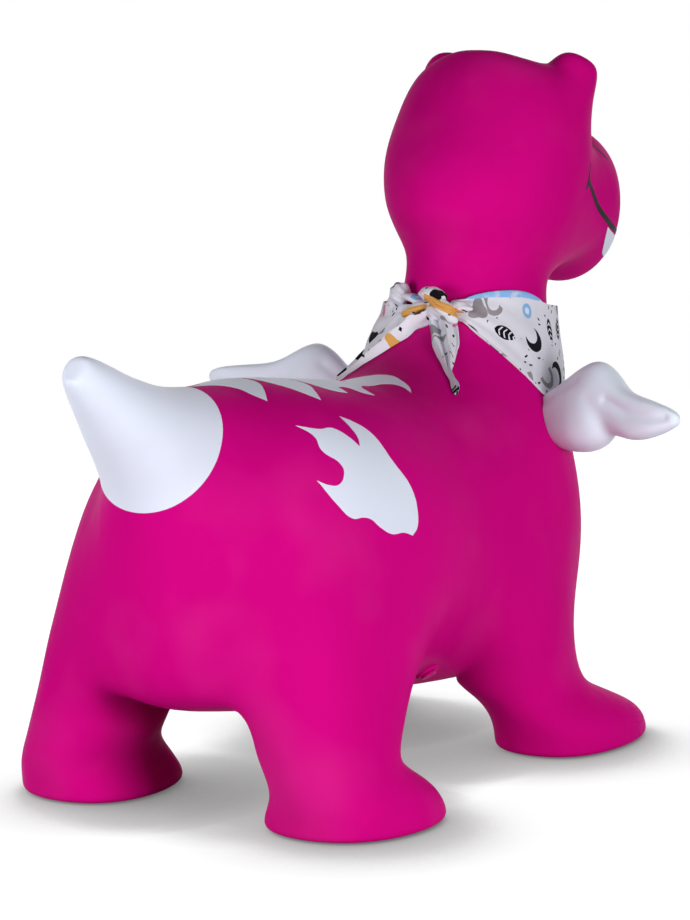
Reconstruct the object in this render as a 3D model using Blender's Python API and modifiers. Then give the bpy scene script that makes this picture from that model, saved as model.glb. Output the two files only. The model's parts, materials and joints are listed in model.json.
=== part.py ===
"""Bouncy ride-on dinosaur: an air-filled vinyl body with painted markings, moulded wing grips,
an inflation valve and a printed neckerchief.

Metres, +Z up. The animal looks along -Y, its left side is +X, and it stands on Z = 0.
"""

import math

import bmesh
import bpy
from mathutils import Matrix, Vector
from mathutils.bvhtree import BVHTree

# Overall sizes of the animal
OVERALL_HEIGHT = 0.52
SEAT_HEIGHT = 0.28
TORSO_LENGTH = 0.40
TORSO_WIDTH = 0.244
SKIN = 0.0022

# Legs and feet
TRACK = 0.205
REAR_ANKLE_Y = 0.151
FRONT_ANKLE_Y = -0.150
ANKLE_WIDTH = 0.098
FOOT_HEIGHT = 0.046

# Neck and head
NECK_Y = -0.2185
HEAD_WIDTH = 0.176
HEAD_LENGTH = 0.180
SNOUT_REACH = 0.145
SNOUT_WIDTH = 0.124

# Thin layers and clearances
CLEARANCE = 0.0003
PAINT_THICKNESS = 0.0006
ORIGIN_SHIFT = 0.0323

# White painted tail, cut off by a tilted plane through its top and its lowest point.
# Each row: y as a share of TORSO_LENGTH, z of SEAT_HEIGHT.
TAIL_PAINT_SHARES = (
    (0.428, 1.064),
    (0.572, 0.780),
)

# White back markings seen from above; the left half mirrors the right half.
# Each row: half width as a share of CREST_WIDTH, y as a share of TORSO_LENGTH, corner.
CREST_WIDTH = 0.10
REAR_FLAME_SHARES = (
    (0.00, 0.420, 1),
    (0.07, 0.367, 0),
    (0.19, 0.345, 0),
    (0.28, 0.342, 0),
    (0.39, 0.332, 1),
    (0.29, 0.305, 0),
    (0.18, 0.282, 0),
    (0.00, 0.267, 1),
)
MIDDLE_FLAME_SHARES = (
    (0.00, 0.257, 1),
    (0.21, 0.257, 0),
    (0.34, 0.245, 0),
    (0.44, 0.235, 0),
    (0.54, 0.222, 1),
    (0.43, 0.197, 0),
    (0.28, 0.165, 0),
    (0.00, 0.150, 1),
)
FRONT_FLAME_SHARES = (
    (0.00, 0.140, 1),
    (0.24, 0.145, 0),
    (0.35, 0.137, 0),
    (0.41, 0.122, 0),
    (0.44, 0.097, 1),
    (0.32, 0.082, 1),
    (0.33, 0.055, 0),
    (0.42, 0.042, 0),
    (0.46, 0.015, 1),
    (0.32, 0.000, 0),
    (0.18, -0.087, 1),
    (0.18, -0.145, 0),
    (0.24, -0.155, 0),
    (0.39, -0.142, 1),
    (0.32, -0.165, 0),
    (0.18, -0.190, 0),
    (0.07, -0.205, 0),
    (0.00, -0.207, 0),
)
CREST_BAND_SHARES = (0.89, 1.15)

# White flank markings, drawn on a plane leaning by PATCH_LEAN and pressed through the flank by PATCH_REACH.
# The centre's x is a share of half TORSO_WIDTH, y of TORSO_LENGTH, z of SEAT_HEIGHT.
# Each row: rearwards and up as shares of PATCH_SIZE, corner.
PATCH_SIZE = 0.08
PATCH_REACH = 0.045
PATCH_LEAN = 40
PATCH_CENTRE_SHARES = (0.807, 0.2675, 0.842)
PATCH_SHARES = (
    (0.33, 0.62, 1),
    (0.16, 0.51, 0),
    (0.03, 0.48, 0),
    (-0.04, 0.39, 0),
    (-0.10, 0.23, 1),
    (-0.16, 0.32, 0),
    (-0.18, 0.42, 0),
    (-0.19, 0.58, 1),
    (-0.31, 0.47, 0),
    (-0.38, 0.36, 0),
    (-0.40, 0.03, 0),
    (-0.49, -0.24, 0),
    (-0.46, -0.46, 0),
    (-0.40, -0.56, 0),
    (-0.31, -0.61, 1),
    (-0.20, -0.57, 0),
    (-0.03, -0.55, 0),
    (0.08, -0.48, 0),
    (0.17, -0.38, 0),
    (0.23, -0.35, 0),
    (0.34, -0.32, 0),
    (0.42, -0.18, 0),
    (0.48, 0.09, 1),
    (0.41, 0.01, 0),
    (0.34, -0.02, 0),
    (0.24, 0.04, 0),
    (0.21, 0.12, 0),
    (0.29, 0.32, 0),
    (0.26, 0.46, 0),
)

# Face markings drawn from the side. The centre's y is measured forwards from NECK_Y as a share of
# SNOUT_REACH, its z up from SEAT_HEIGHT as a share of the head's rise.
# Each row: rearwards and up as shares of FACE_SIZE, corner.
FACE_SIZE = 0.10
FACE_CENTRE_SHARES = (0.562, 0.50)
FACE_INNER_SHARE = 0.125
MOUTH_SHARES = (
    (0.300, 0.375, 1),
    (0.307, 0.250, 0),
    (0.216, 0.169, 0),
    (0.047, 0.042, 0),
    (-0.103, -0.040, 0),
    (-0.231, -0.093, 0),
    (-0.382, -0.149, 0),
    (-0.554, -0.200, 0),
    (-0.720, -0.236, 1),
    (-0.720, -0.256, 1),
    (-0.546, -0.231, 0),
    (-0.369, -0.185, 0),
    (-0.217, -0.131, 0),
    (-0.085, -0.078, 0),
    (0.073, 0.004, 0),
    (0.244, 0.135, 0),
    (0.315, 0.195, 1),
    (0.385, 0.160, 1),
    (0.350, 0.255, 0),
)
TOOTH_SHARES = (
    (-0.235, -0.152, 1),
    (-0.370, -0.201, 0),
    (-0.555, -0.250, 1),
    (-0.555, -0.330, 0),
    (-0.490, -0.405, 1),
    (-0.425, -0.385, 0),
    (-0.325, -0.292, 0),
    (-0.265, -0.212, 0),
)

# Marks pressed straight onto the face, each placed by its middle: x as a share of half HEAD_WIDTH,
# y forwards from NECK_Y as a share of SNOUT_REACH, z up from SEAT_HEIGHT as a share of the head's rise.
MARK_REACH = 0.010
NOSTRIL_CENTRE_SHARES = (0.665, 0.679, 0.702)
EYE_CENTRE_SHARES = (0.50, 0.575, 0.862)

# Nostril outline. Each row: forwards and up along the surface as shares of FACE_SIZE, corner.
NOSTRIL_SHARES = (
    (0.022, 0.100, 1),
    (-0.012, 0.035, 0),
    (-0.008, -0.020, 0),
    (0.030, -0.058, 0),
    (0.085, -0.085, 1),
    (0.052, -0.040, 0),
    (0.022, -0.008, 0),
    (0.012, 0.035, 0),
)

# Eyes
EYE_WIDTH = 0.026
EYE_HEIGHT = 0.034
PUPIL_WIDTH = 0.0154
PUPIL_HEIGHT = 0.0198
PUPIL_DROP = 0.0038

# Wing grips: sections from inside the shoulder to the tip, as shares of WING_SPAN.
# The left one stands a few degrees higher than the right one, and as far out.
# The root's x is a share of half TORSO_WIDTH, y of TORSO_LENGTH, z of SEAT_HEIGHT.
# Each row: top outwards, top up, bottom outwards, bottom up, upper, middle and lower half depth.
WING_SPAN = 0.104
WING_SWEEP = 16.3
WING_LEAN = 16.4
WING_RISE_LEFT = 6
WING_RISE_RIGHT = 0
WING_SHIFT_LEFT = 0.00312
WING_ROOT_SHARES = (0.869, -0.43, 0.80)
WING_SHARES = (
    (-0.42, 0.31, -0.20, 0.03, 0.13, 0.15, 0.14),
    (-0.14, 0.47, 0.08, -0.01, 0.14, 0.18, 0.18),
    (0.02, 0.62, 0.25, 0.02, 0.14, 0.18, 0.19),
    (0.18, 0.70, 0.36, 0.09, 0.14, 0.16, 0.15),
    (0.32, 0.61, 0.42, 0.17, 0.13, 0.13, 0.09),
    (0.47, 0.48, 0.60, 0.12, 0.12, 0.09, 0.11),
    (0.69, 0.44, 0.80, 0.17, 0.10, 0.08, 0.09),
    (0.90, 0.40, 0.95, 0.24, 0.07, 0.06, 0.06),
    (1.01, 0.355, 1.02, 0.29, 0.03, 0.03, 0.03),
)
WING_TURN_SHARES = (1, 0.71, 0, -0.71, -1, -0.71, 0, 0.71)

# Inflation valve, on the underside. Its x is a share of half TORSO_WIDTH, its y of TORSO_LENGTH.
VALVE_PLACE_SHARES = (-0.59, -0.0625)
VALVE_FLANGE_RADIUS = 0.009
VALVE_FLANGE_LIFT = 0.0018
VALVE_FLANGE_BED = 0.0030
VALVE_TUBE_RADIUS = 0.0048
VALVE_TUBE_DEPTH = 0.009
VALVE_BORE_RADIUS = 0.0030
PLUG_HEAD_RADIUS = 0.0062
PLUG_HEAD_HEIGHT = 0.0018
PLUG_STEM_DEPTH = 0.0065
PLUG_CHAMFER = 0.0008
VALVE_OVERRUN = 0.010

# Neckerchief, wrapped round the neck about the upright line at NECK_Y.
# SCARF_TOP_SHARE is measured up from SEAT_HEIGHT as a share of the head's rise.
# Each row: degrees from the nape, top and bottom down from there and lift as shares of SCARF_DROP.
SCARF_DROP = 0.18
SCARF_THICKNESS = 0.0012
SCARF_STAND = 0.0014
HEM_HEIGHT = 0.005
SCARF_START = 14
SCARF_END = 358
SCARF_TOP_SHARE = 0.25
SCARF_SHARES = (
    (5, 0.015, 0.085, 0.020),
    (20, 0.010, 0.110, 0.016),
    (33, 0.010, 0.190, 0.014),
    (44, 0.010, 0.260, 0.012),
    (54, 0.010, 0.340, 0.010),
    (64, 0.010, 0.395, 0.012),
    (73, 0.012, 0.395, 0.016),
    (82, 0.016, 0.430, 0.020),
    (95, 0.025, 0.560, 0.034),
    (115, 0.040, 0.670, 0.044),
    (140, 0.070, 0.790, 0.030),
    (162, 0.085, 0.880, 0.026),
    (180, 0.090, 0.950, 0.022),
)
FOLD_SHARE = 0.022
SCARF_COLUMNS = 40
SCARF_ROWS = 6

# Knot of the neckerchief: degrees from the nape, drop from the scarf's top as a share of SCARF_DROP.
KNOT_WIDTH = 0.027
KNOT_DEPTH = 0.021
KNOT_LENGTH = 0.026
KNOT_LIFT = 0.011
KNOT_TURN = 7
KNOT_TILT = 35
KNOT_DROP_SHARE = 0.055

# Loose ends of the neckerchief, laid on the skin.
# Each row: x, y, z from the knot, half width and half depth, as shares of SCARF_DROP.
RIGHT_TAIL_SHARES = (
    (0.00, 0.000, 0.000, 0.040, 0.030),
    (-0.01, 0.055, -0.090, 0.062, 0.030),
    (-0.06, 0.120, -0.190, 0.066, 0.026),
    (-0.13, 0.180, -0.250, 0.054, 0.022),
    (-0.19, 0.230, -0.290, 0.032, 0.018),
    (-0.23, 0.280, -0.320, 0.016, 0.013),
)
LEFT_TAIL_SHARES = (
    (0.02, 0.000, -0.010, 0.044, 0.030),
    (0.14, 0.000, -0.070, 0.062, 0.030),
    (0.22, 0.040, -0.130, 0.062, 0.026),
    (0.30, 0.110, -0.200, 0.050, 0.022),
    (0.35, 0.180, -0.250, 0.034, 0.018),
    (0.38, 0.230, -0.280, 0.016, 0.013),
)
TAIL_SECTION_SHARES = (
    (1.0, 0.1),
    (0.6, 0.8),
    (0.0, 0.4),
    (-0.6, 1.0),
    (-1.0, 0.2),
    (-0.6, -0.6),
    (0.0, -0.7),
    (0.6, -0.6),
)

# Body rings. Each row: top y, top z, bottom y, bottom z, half width, upper and lower fullness.
# y is a share of TORSO_LENGTH, z of SEAT_HEIGHT, half width of half TORSO_WIDTH.
TORSO_SHARES = {
    "tail_tip": (0.728, 1.165, 0.756, 1.103, 0.082, 1.000, 1.000),
    "tail_point": (0.710, 1.171, 0.713, 1.039, 0.140, 1.000, 0.999),
    "tail_middle": (0.639, 1.124, 0.649, 0.931, 0.232, 1.000, 0.999),
    "tail_base": (0.540, 1.080, 0.590, 0.827, 0.323, 1.000, 0.998),
    "tail_root": (0.434, 1.062, 0.557, 0.720, 0.375, 1.000, 1.001),
    "rump": (0.328, 1.070, 0.559, 0.470, 0.571, 1.000, 1.006),
    "hip_rear": (0.277, 1.080, 0.557, 0.263, 0.841, 1.000, 1.067),
    "hip": (0.200, 1.073, 0.376, 0.238, 1.014, 1.000, 1.087),
    "hip_front": (0.097, 1.055, 0.083, 0.186, 1.036, 1.000, 1.240),
    "saddle": (0.010, 1.046, -0.061, 0.188, 0.952, 1.000, 1.164),
    "shoulder_rear": (-0.082, 1.022, -0.171, 0.153, 0.922, 1.000, 1.161),
    "shoulder": (-0.168, 1.021, -0.339, 0.156, 0.967, 1.000, 1.138),
    "chest": (-0.265, 1.043, -0.601, 0.246, 0.951, 1.000, 1.148),
    "breast": (-0.336, 1.103, -0.680, 0.533, 0.766, 1.000, 0.991),
}
LEG_STATIONS = {
    "rear": ("hip_rear", "hip", "hip_front"),
    "front": ("shoulder_rear", "shoulder", "chest"),
}

# Neck and head rings. Each row: back y, back z, front y, front z, half width, rear and front fullness.
# y is measured forwards from NECK_Y as a share of HEAD_LENGTH, z is measured up from
# SEAT_HEIGHT as a share of the head's rise, half width is a share of half HEAD_WIDTH.
HEAD_SHARES = {
    "neck_base": (-0.352, 0.208, 0.308, -0.087, 0.699, 1.000, 1.000),
    "neck": (-0.321, 0.317, 0.337, 0.120, 0.634, 1.000, 1.000),
    "neck_top": (-0.321, 0.399, 0.327, 0.255, 0.588, 1.000, 1.000),
    "jaw": (-0.405, 0.468, 0.524, 0.305, 0.713, 1.000, 1.000),
    "cheek": (-0.453, 0.542, 0.621, 0.480, 0.854, 1.000, 1.000),
    "eye_level": (-0.417, 0.658, 0.604, 0.688, 0.898, 1.000, 1.000),
    "brow": (-0.296, 0.784, 0.581, 0.829, 0.876, 1.000, 1.000),
    "crown_edge": (-0.152, 0.957, 0.455, 0.929, 0.725, 1.000, 1.000),
    "crown": (-0.021, 1.032, 0.286, 0.935, 0.417, 1.000, 1.000),
}

# Eye bump: side, forwards and up to its middle, radius, height.
# Side and radius are shares of half HEAD_WIDTH, forwards of HEAD_LENGTH, up and height of the head's rise.
EYE_BUMP_SHARES = (0.630, 0.285, 0.930, 0.235, 0.067)
EYE_BUMP_LEAN = (0.25, -0.45, 0.86)

# Leg rings below the belly. Each row: height, centre x, centre y, half width, half length, squareness,
# and how far the toe side turns outwards. Heights are shares of FOOT_HEIGHT, the rest of half
# ANKLE_WIDTH, measured from the ankle's centre.
LEG_SHARES = {
    "rear": (
        (1.200, -0.153, -0.095, 0.961, 1.047, 1.000, 0.00),
        (0.880, -0.027, -0.062, 0.900, 1.049, 1.000, 0.00),
        (0.550, 0.145, -0.330, 0.950, 1.270, 1.040, 0.06),
        (0.180, 0.090, -0.480, 1.080, 1.310, 1.080, 0.08),
    ),
    "front": (
        (1.200, -0.455, 0.300, 0.850, 1.120, 1.000, 0.00),
        (0.880, -0.162, -0.010, 0.868, 1.130, 1.000, 0.00),
        (0.550, 0.113, -0.454, 0.960, 1.428, 1.087, 0.00),
        (0.180, 0.122, -0.617, 0.969, 1.463, 1.110, 0.00),
    ),
}

# Snout rings. Each row: reach, half width, lower edge, upper edge, lower and upper fullness.
# Reach is a share of SNOUT_REACH forwards from NECK_Y, half width of half SNOUT_WIDTH,
# edges of the head's rise above SEAT_HEIGHT.
SNOUT_SHARES = (
    (0.745, 1.085, 0.287, 0.800, 1.006, 1.100),
    (0.965, 0.910, 0.189, 0.785, 1.028, 1.200),
    (1.012, 0.652, 0.336, 0.700, 1.005, 1.150),
)

# Counts and finishes
HALF_POINTS = 7
SUBDIVISIONS = 1
OUTLINE_STEPS = 3
ROUND_STEPS = 20
EYE_POINTS = 6
MERGE_DISTANCE = 0.00001
SOLE_EDGE_SHARE = 0.99
SOLE_INSET_SHARE = 0.70
BUMP_SHOULDER_SHARE = 0.8
BUMP_CROWN_SHARE = 1.2
LEG_ANGLES = (45, 0, -45, -90, -135, 180, 135, 90)
SHARP_ANGLE = 40
MAGENTA = (0.60, 0.002, 0.22)
WHITE = (0.76, 0.79, 0.92)
BLACK = (0.012, 0.011, 0.014)
CLOTH = (0.80, 0.80, 0.84)
PALE_BLUE = (0.22, 0.46, 0.80)
SATIN_ROUGHNESS = 0.42
GLOSSY_ROUGHNESS = 0.2
WOVEN_ROUGHNESS = 0.9


def ring_growth(count):
    """How much larger a cage ring of this many points is than the round that it subdivides to."""
    return 6 / (4 + 2 * math.cos(math.tau / count))


def half_ring(top, bottom, half_width, upper=1, lower=1):
    """Points of one body ring at x >= 0, from the top of the section to its bottom."""
    grow = ring_growth(2 * (HALF_POINTS - 1))
    middle = (Vector(top) + Vector(bottom)) / 2
    half_height = (Vector(top) - Vector(bottom)) / 2
    points = []
    for step in range(HALF_POINTS):
        angle = math.pi * step / (HALF_POINTS - 1)
        turn = math.cos(angle)
        fullness = 1 + ((upper if turn > 0 else lower) - 1) * turn * turn
        place = middle + half_height * turn
        points.append(Vector((half_width * math.sin(angle) * grow * fullness, place.y, place.z)))
    points[0].x = 0
    points[-1].x = 0
    return points


def head_rise():
    return OVERALL_HEIGHT - SEAT_HEIGHT


def torso_place(x_share, y_share, z_share):
    """A point given as shares of the torso's half width, length and seat height."""
    return Vector((x_share * TORSO_WIDTH / 2, y_share * TORSO_LENGTH, z_share * SEAT_HEIGHT))


def torso_rings():
    """The rings from the tail's tip to the breast, by name."""
    rings = {}
    for name, (top_y, top_z, low_y, low_z, width, upper, lower) in TORSO_SHARES.items():
        top = (0, top_y * TORSO_LENGTH, top_z * SEAT_HEIGHT)
        low = (0, low_y * TORSO_LENGTH, low_z * SEAT_HEIGHT)
        rings[name] = half_ring(top, low, width * TORSO_WIDTH / 2, upper, lower)
    return rings


def head_rings():
    """The rings from the base of the neck to the crown, by name."""
    rise = head_rise()
    rings = {}
    for name, (back_y, back_z, front_y, front_z, width, rear, front) in HEAD_SHARES.items():
        behind = (0, NECK_Y - back_y * HEAD_LENGTH, SEAT_HEIGHT + back_z * rise)
        ahead = (0, NECK_Y - front_y * HEAD_LENGTH, SEAT_HEIGHT + front_z * rise)
        rings[name] = half_ring(behind, ahead, width * HEAD_WIDTH / 2, rear, front)
    return rings


def leg_rings(leg, ankle_y):
    """Closed rings of one left leg from just under the belly to the sole, eight points each."""
    grow = ring_growth(len(LEG_ANGLES))
    unit = ANKLE_WIDTH / 2
    rows = list(LEG_SHARES[leg])
    height, x, y, wide, long, square, splay = rows[-1]
    for size in (SOLE_EDGE_SHARE, SOLE_INSET_SHARE):
        rows.append((0, x, y, wide * size, long * size, square, splay))
    rings = []
    for height, x, y, wide, long, square, splay in rows:
        ring = []
        for degrees in LEG_ANGLES:
            angle = math.radians(degrees)
            reach = unit * grow * (square if degrees % 90 else 1)
            behind = long * reach * math.sin(angle)
            side = TRACK / 2 + x * unit + wide * reach * math.cos(angle) - splay * behind
            ring.append(Vector((side, ankle_y + y * unit + behind, height * FOOT_HEIGHT)))
        rings.append(ring)
    return rings


def bridge(mesh, first, second, closed):
    """Quads between two rows of cage points."""
    count = len(first)
    for i in range(count if closed else count - 1):
        j = (i + 1) % count
        mesh.faces.new((first[i], first[j], second[j], second[i]))


def add_row(mesh, points):
    return [mesh.verts.new(point) for point in points]


def cap_half(mesh, row):
    """Closes a half ring of seven points with four quads and three points on the middle plane."""
    first, last = row[0].co, row[-1].co
    inner = [first.lerp(last, part / 4) for part in (1, 2, 3)]
    a, b, c = add_row(mesh, inner)
    mesh.faces.new((row[0], row[1], row[2], a))
    mesh.faces.new((a, row[2], row[3], b))
    mesh.faces.new((b, row[3], row[4], c))
    mesh.faces.new((c, row[4], row[5], row[6]))


def body_cage():
    """The left half of the whole skin as a coarse cage of quads."""
    mesh = bmesh.new()
    rings = {**torso_rings(), **head_rings()}
    rows = {name: add_row(mesh, points) for name, points in rings.items()}
    names = list(rows)
    gaps = {}
    for near, mid, far in LEG_STATIONS.values():
        gaps[near] = gaps[mid] = (3, 4)
    gaps["jaw"] = gaps["cheek"] = (4, 5)
    gaps["brow"] = gaps["crown_edge"] = (3, 4)
    for name, following in zip(names, names[1:]):
        first, second = rows[name], rows[following]
        for i in range(HALF_POINTS - 1):
            if i in gaps.get(name, ()):
                continue
            mesh.faces.new((first[i], first[i + 1], second[i + 1], second[i]))
    cap_half(mesh, rows["tail_tip"])
    cap_half(mesh, rows["crown"])
    for leg, ankle_y in (("rear", REAR_ANKLE_Y), ("front", FRONT_ANKLE_Y)):
        near, mid, far = (rows[name] for name in LEG_STATIONS[leg])
        mesh.verts.remove(mid[4])
        edge = [near[3], mid[3], far[3], far[4], far[5], mid[5], near[5], near[4]]
        for points in leg_rings(leg, ankle_y):
            ring = add_row(mesh, points)
            bridge(mesh, edge, ring, True)
            edge = ring
        mesh.faces.new(edge)
    add_snout(mesh, rows)
    add_eye_bump(mesh, rows)
    bmesh.ops.recalc_face_normals(mesh, faces=mesh.faces)
    return mesh


def add_snout(mesh, rows):
    """Draws the snout out of the lower front of the head."""
    jaw, cheek, eye = rows["jaw"], rows["cheek"], rows["eye_level"]
    mesh.verts.remove(cheek[6])
    mesh.verts.remove(cheek[5])
    edge = [jaw[6], jaw[5], jaw[4], cheek[4], eye[4], eye[5], eye[6]]
    rise = head_rise()
    for reach, width, low, high, under, over in SNOUT_SHARES:
        y = NECK_Y - reach * SNOUT_REACH
        bottom = (0, y, SEAT_HEIGHT + low * rise)
        top = (0, y, SEAT_HEIGHT + high * rise)
        ring = add_row(mesh, half_ring(bottom, top, width * SNOUT_WIDTH / 2, under, over))
        bridge(mesh, edge, ring, False)
        edge = ring
    cap_half(mesh, edge)


def add_eye_bump(mesh, rows):
    """Raises one rounded bump from the upper front of the head."""
    brow, edge_row, crown = rows["brow"], rows["crown_edge"], rows["crown"]
    mesh.verts.remove(edge_row[4])
    edge = [brow[3], edge_row[3], crown[3], crown[4], crown[5], edge_row[5], brow[5], brow[4]]
    rise = head_rise()
    side, forward, up, radius, height = EYE_BUMP_SHARES
    middle = Vector((side * HEAD_WIDTH / 2, NECK_Y - forward * HEAD_LENGTH, SEAT_HEIGHT + up * rise))
    lean = Vector(EYE_BUMP_LEAN).normalized()
    inward = crown[4].co - brow[4].co
    inward = (inward - lean * inward.dot(lean)).normalized()
    ahead = lean.cross(inward)
    if ahead.dot(edge_row[5].co - edge_row[3].co) < 0:
        ahead = -ahead
    turns = ((-1, -1), (0, -1), (1, -1), (1, 0), (1, 1), (0, 1), (-1, 1), (-1, 0))
    reach = radius * HEAD_WIDTH / 2 * ring_growth(len(turns))
    for size, lift in ((1, 0), (BUMP_SHOULDER_SHARE, 1)):
        points = []
        for a, b in turns:
            aim = (inward * a + ahead * b).normalized()
            points.append(middle + aim * reach * size + lean * height * rise * lift)
        ring = add_row(mesh, points)
        bridge(mesh, edge, ring, True)
        edge = ring
    top = mesh.verts.new(middle + lean * height * rise * BUMP_CROWN_SHARE)
    for i in range(0, len(turns), 2):
        mesh.faces.new((edge[i - 1], edge[i], edge[i + 1], top))


def wing_cage(side):
    """One wing grip as a coarse cage; side is 1 for the animal's left and -1 for its right."""
    mesh = bmesh.new()
    sweep, lean = math.radians(WING_SWEEP), math.radians(WING_LEAN)
    out = Vector((math.cos(sweep), math.sin(sweep), 0))
    up = Vector((math.sin(sweep) * math.sin(lean), -math.cos(sweep) * math.sin(lean), math.cos(lean)))
    across = out.cross(up)
    rise = math.radians(WING_RISE_LEFT if side > 0 else WING_RISE_RIGHT)
    out, up = out * math.cos(rise) + up * math.sin(rise), up * math.cos(rise) - out * math.sin(rise)
    root = torso_place(*WING_ROOT_SHARES)
    root.x += WING_SHIFT_LEFT if side > 0 else 0
    growth = ring_growth(len(WING_TURN_SHARES))
    previous = None
    for top_out, top_up, low_out, low_up, upper, middle, lower in WING_SHARES:
        high = out * top_out + up * top_up
        low = out * low_out + up * low_up
        centre, half = (high + low) / 2, (high - low) / 2
        depths = (0, upper, middle, lower, 0, -lower, -middle, -upper)
        points = []
        for turn, depth in zip(WING_TURN_SHARES, depths):
            place = root + (centre + (half * turn + across * depth) * growth) * WING_SPAN
            points.append(Vector((place.x * side, place.y, place.z)))
        ring = add_row(mesh, points)
        if previous:
            bridge(mesh, previous, ring, True)
        else:
            mesh.faces.new(ring)
        previous = ring
    mesh.faces.new(previous)
    bmesh.ops.recalc_face_normals(mesh, faces=mesh.faces)
    return mesh


def scarf_row(turn):
    """Top, bottom and lift of the scarf at this turn from the nape, by straight steps between the rows."""
    turn = max(min(turn, 360 - turn), SCARF_SHARES[0][0])
    for first, second in zip(SCARF_SHARES, SCARF_SHARES[1:]):
        if turn <= second[0]:
            part = (turn - first[0]) / (second[0] - first[0])
            return [a + (b - a) * part for a, b in zip(first[1:], second[1:])]
    return SCARF_SHARES[-1][1:]


def fold_height(turn, part):
    """How far folds lift the cloth here: deep ones fan out from the knot and fade towards the chest."""
    angle = math.radians(turn)
    fade = abs(math.cos(angle / 2))
    wave = math.sin(2 * math.pi * part + 5 * angle) + math.sin(9 * angle + 2 * part)
    return FOLD_SHARE * (2 + wave) / 4 * fade


def scarf_top():
    return SEAT_HEIGHT + SCARF_TOP_SHARE * head_rise()


def neck_direction(turn):
    angle = math.radians(turn)
    return Vector((-math.sin(angle), math.cos(angle), 0))


def on_neck(tree, turn, height, lift):
    """The point this far off the skin at a turn from the nape, about the upright line at NECK_Y."""
    line = Vector((0, NECK_Y, height))
    aim = neck_direction(turn)
    hit = tree.ray_cast(line + aim * TORSO_LENGTH, -aim)[0]
    return hit + aim * lift


def scarf_sheet(tree, hem):
    """The scarf's inner surface round the neck, open at the knot, or that of the hem above it."""
    mesh = bmesh.new()
    previous = None
    for i in range(SCARF_COLUMNS + 1):
        turn = SCARF_START + (SCARF_END - SCARF_START) * i / SCARF_COLUMNS
        top, low, lift = scarf_row(turn)
        rows = 1 if hem else SCARF_ROWS
        points = []
        for j in range(rows + 1):
            part = j / SCARF_ROWS
            drop = top + (low - top) * j / rows
            if hem:
                drop = top
            height = scarf_top() - drop * SCARF_DROP
            if hem:
                taper = math.sqrt(math.sin(math.pi * (i + 1) / (SCARF_COLUMNS + 2)))
                height += CLEARANCE + HEM_HEIGHT * taper * (1 - j)
            off = lift * (1 - part * part) + fold_height(turn, 0 if hem else part)
            points.append(on_neck(tree, turn, height, SCARF_STAND + off * SCARF_DROP))
        row = add_row(mesh, points)
        if previous:
            bridge(mesh, row, previous, False)
        previous = row
    return mesh


def tail_cage(tree, rows, knot):
    """A loose end of the scarf: flattened rings along a path on the skin."""
    mesh = bmesh.new()
    centres, ups = [], []
    for row in rows:
        near, normal = tree.find_nearest(knot + Vector(row[:3]) * SCARF_DROP)[:2]
        centres.append(near + normal * row[4] * SCARF_DROP)
        ups.append(normal)
    centres[0] = knot
    previous = None
    for i, row in enumerate(rows):
        ahead = centres[min(i + 1, len(rows) - 1)] - centres[max(i - 1, 0)]
        across = ahead.cross(ups[i]).normalized()
        up = across.cross(ahead).normalized()
        wide, deep = row[3] * SCARF_DROP, row[4] * SCARF_DROP
        ring = add_row(mesh, [centres[i] + across * wide * a + up * deep * b for a, b in TAIL_SECTION_SHARES])
        if previous:
            bridge(mesh, previous, ring, True)
        else:
            mesh.faces.new(ring)
        previous = ring
    mesh.faces.new(previous)
    bmesh.ops.recalc_face_normals(mesh, faces=mesh.faces)
    return mesh


def make_object(name, mesh, collection):
    data = bpy.data.meshes.new(name)
    mesh.to_mesh(data)
    mesh.free()
    data.shade_smooth()
    made = bpy.data.objects.new(name, data)
    collection.objects.link(made)
    return made


def colour(made, finish, base, roughness):
    """Gives the object its own material."""
    material = bpy.data.materials.new(made.name + "_" + finish)
    material.use_nodes = True
    shader = material.node_tree.nodes["Principled BSDF"]
    shader.inputs["Base Color"].default_value = (*base, 1)
    shader.inputs["Roughness"].default_value = roughness
    material.diffuse_color = (*base, 1)
    made.data.materials.append(material)


def subdivide(made, levels):
    smooth = made.modifiers.new("smooth", "SUBSURF")
    smooth.levels = smooth.render_levels = levels


def skin_form(name, collection):
    """The outer surface of the whole animal."""
    made = make_object(name, body_cage(), collection)
    mirror = made.modifiers.new("mirror", "MIRROR")
    mirror.merge_threshold = MERGE_DISTANCE
    subdivide(made, SUBDIVISIONS)
    made.modifiers.new("facets", "TRIANGULATE").quad_method = "FIXED"
    return made


def grow(made, distance):
    """Moves the whole surface of the object outwards."""
    step = made.modifiers.new("clearance", "DISPLACE")
    step.mid_level = 0
    step.strength = distance


def boolean(made, other, operation):
    cut = made.modifiers.new(operation.lower(), "BOOLEAN")
    cut.operation = operation
    cut.solver = "EXACT"
    cut.object = other


def solidify(made, thickness, offset):
    wall = made.modifiers.new("wall", "SOLIDIFY")
    wall.thickness = thickness
    wall.offset = offset


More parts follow.
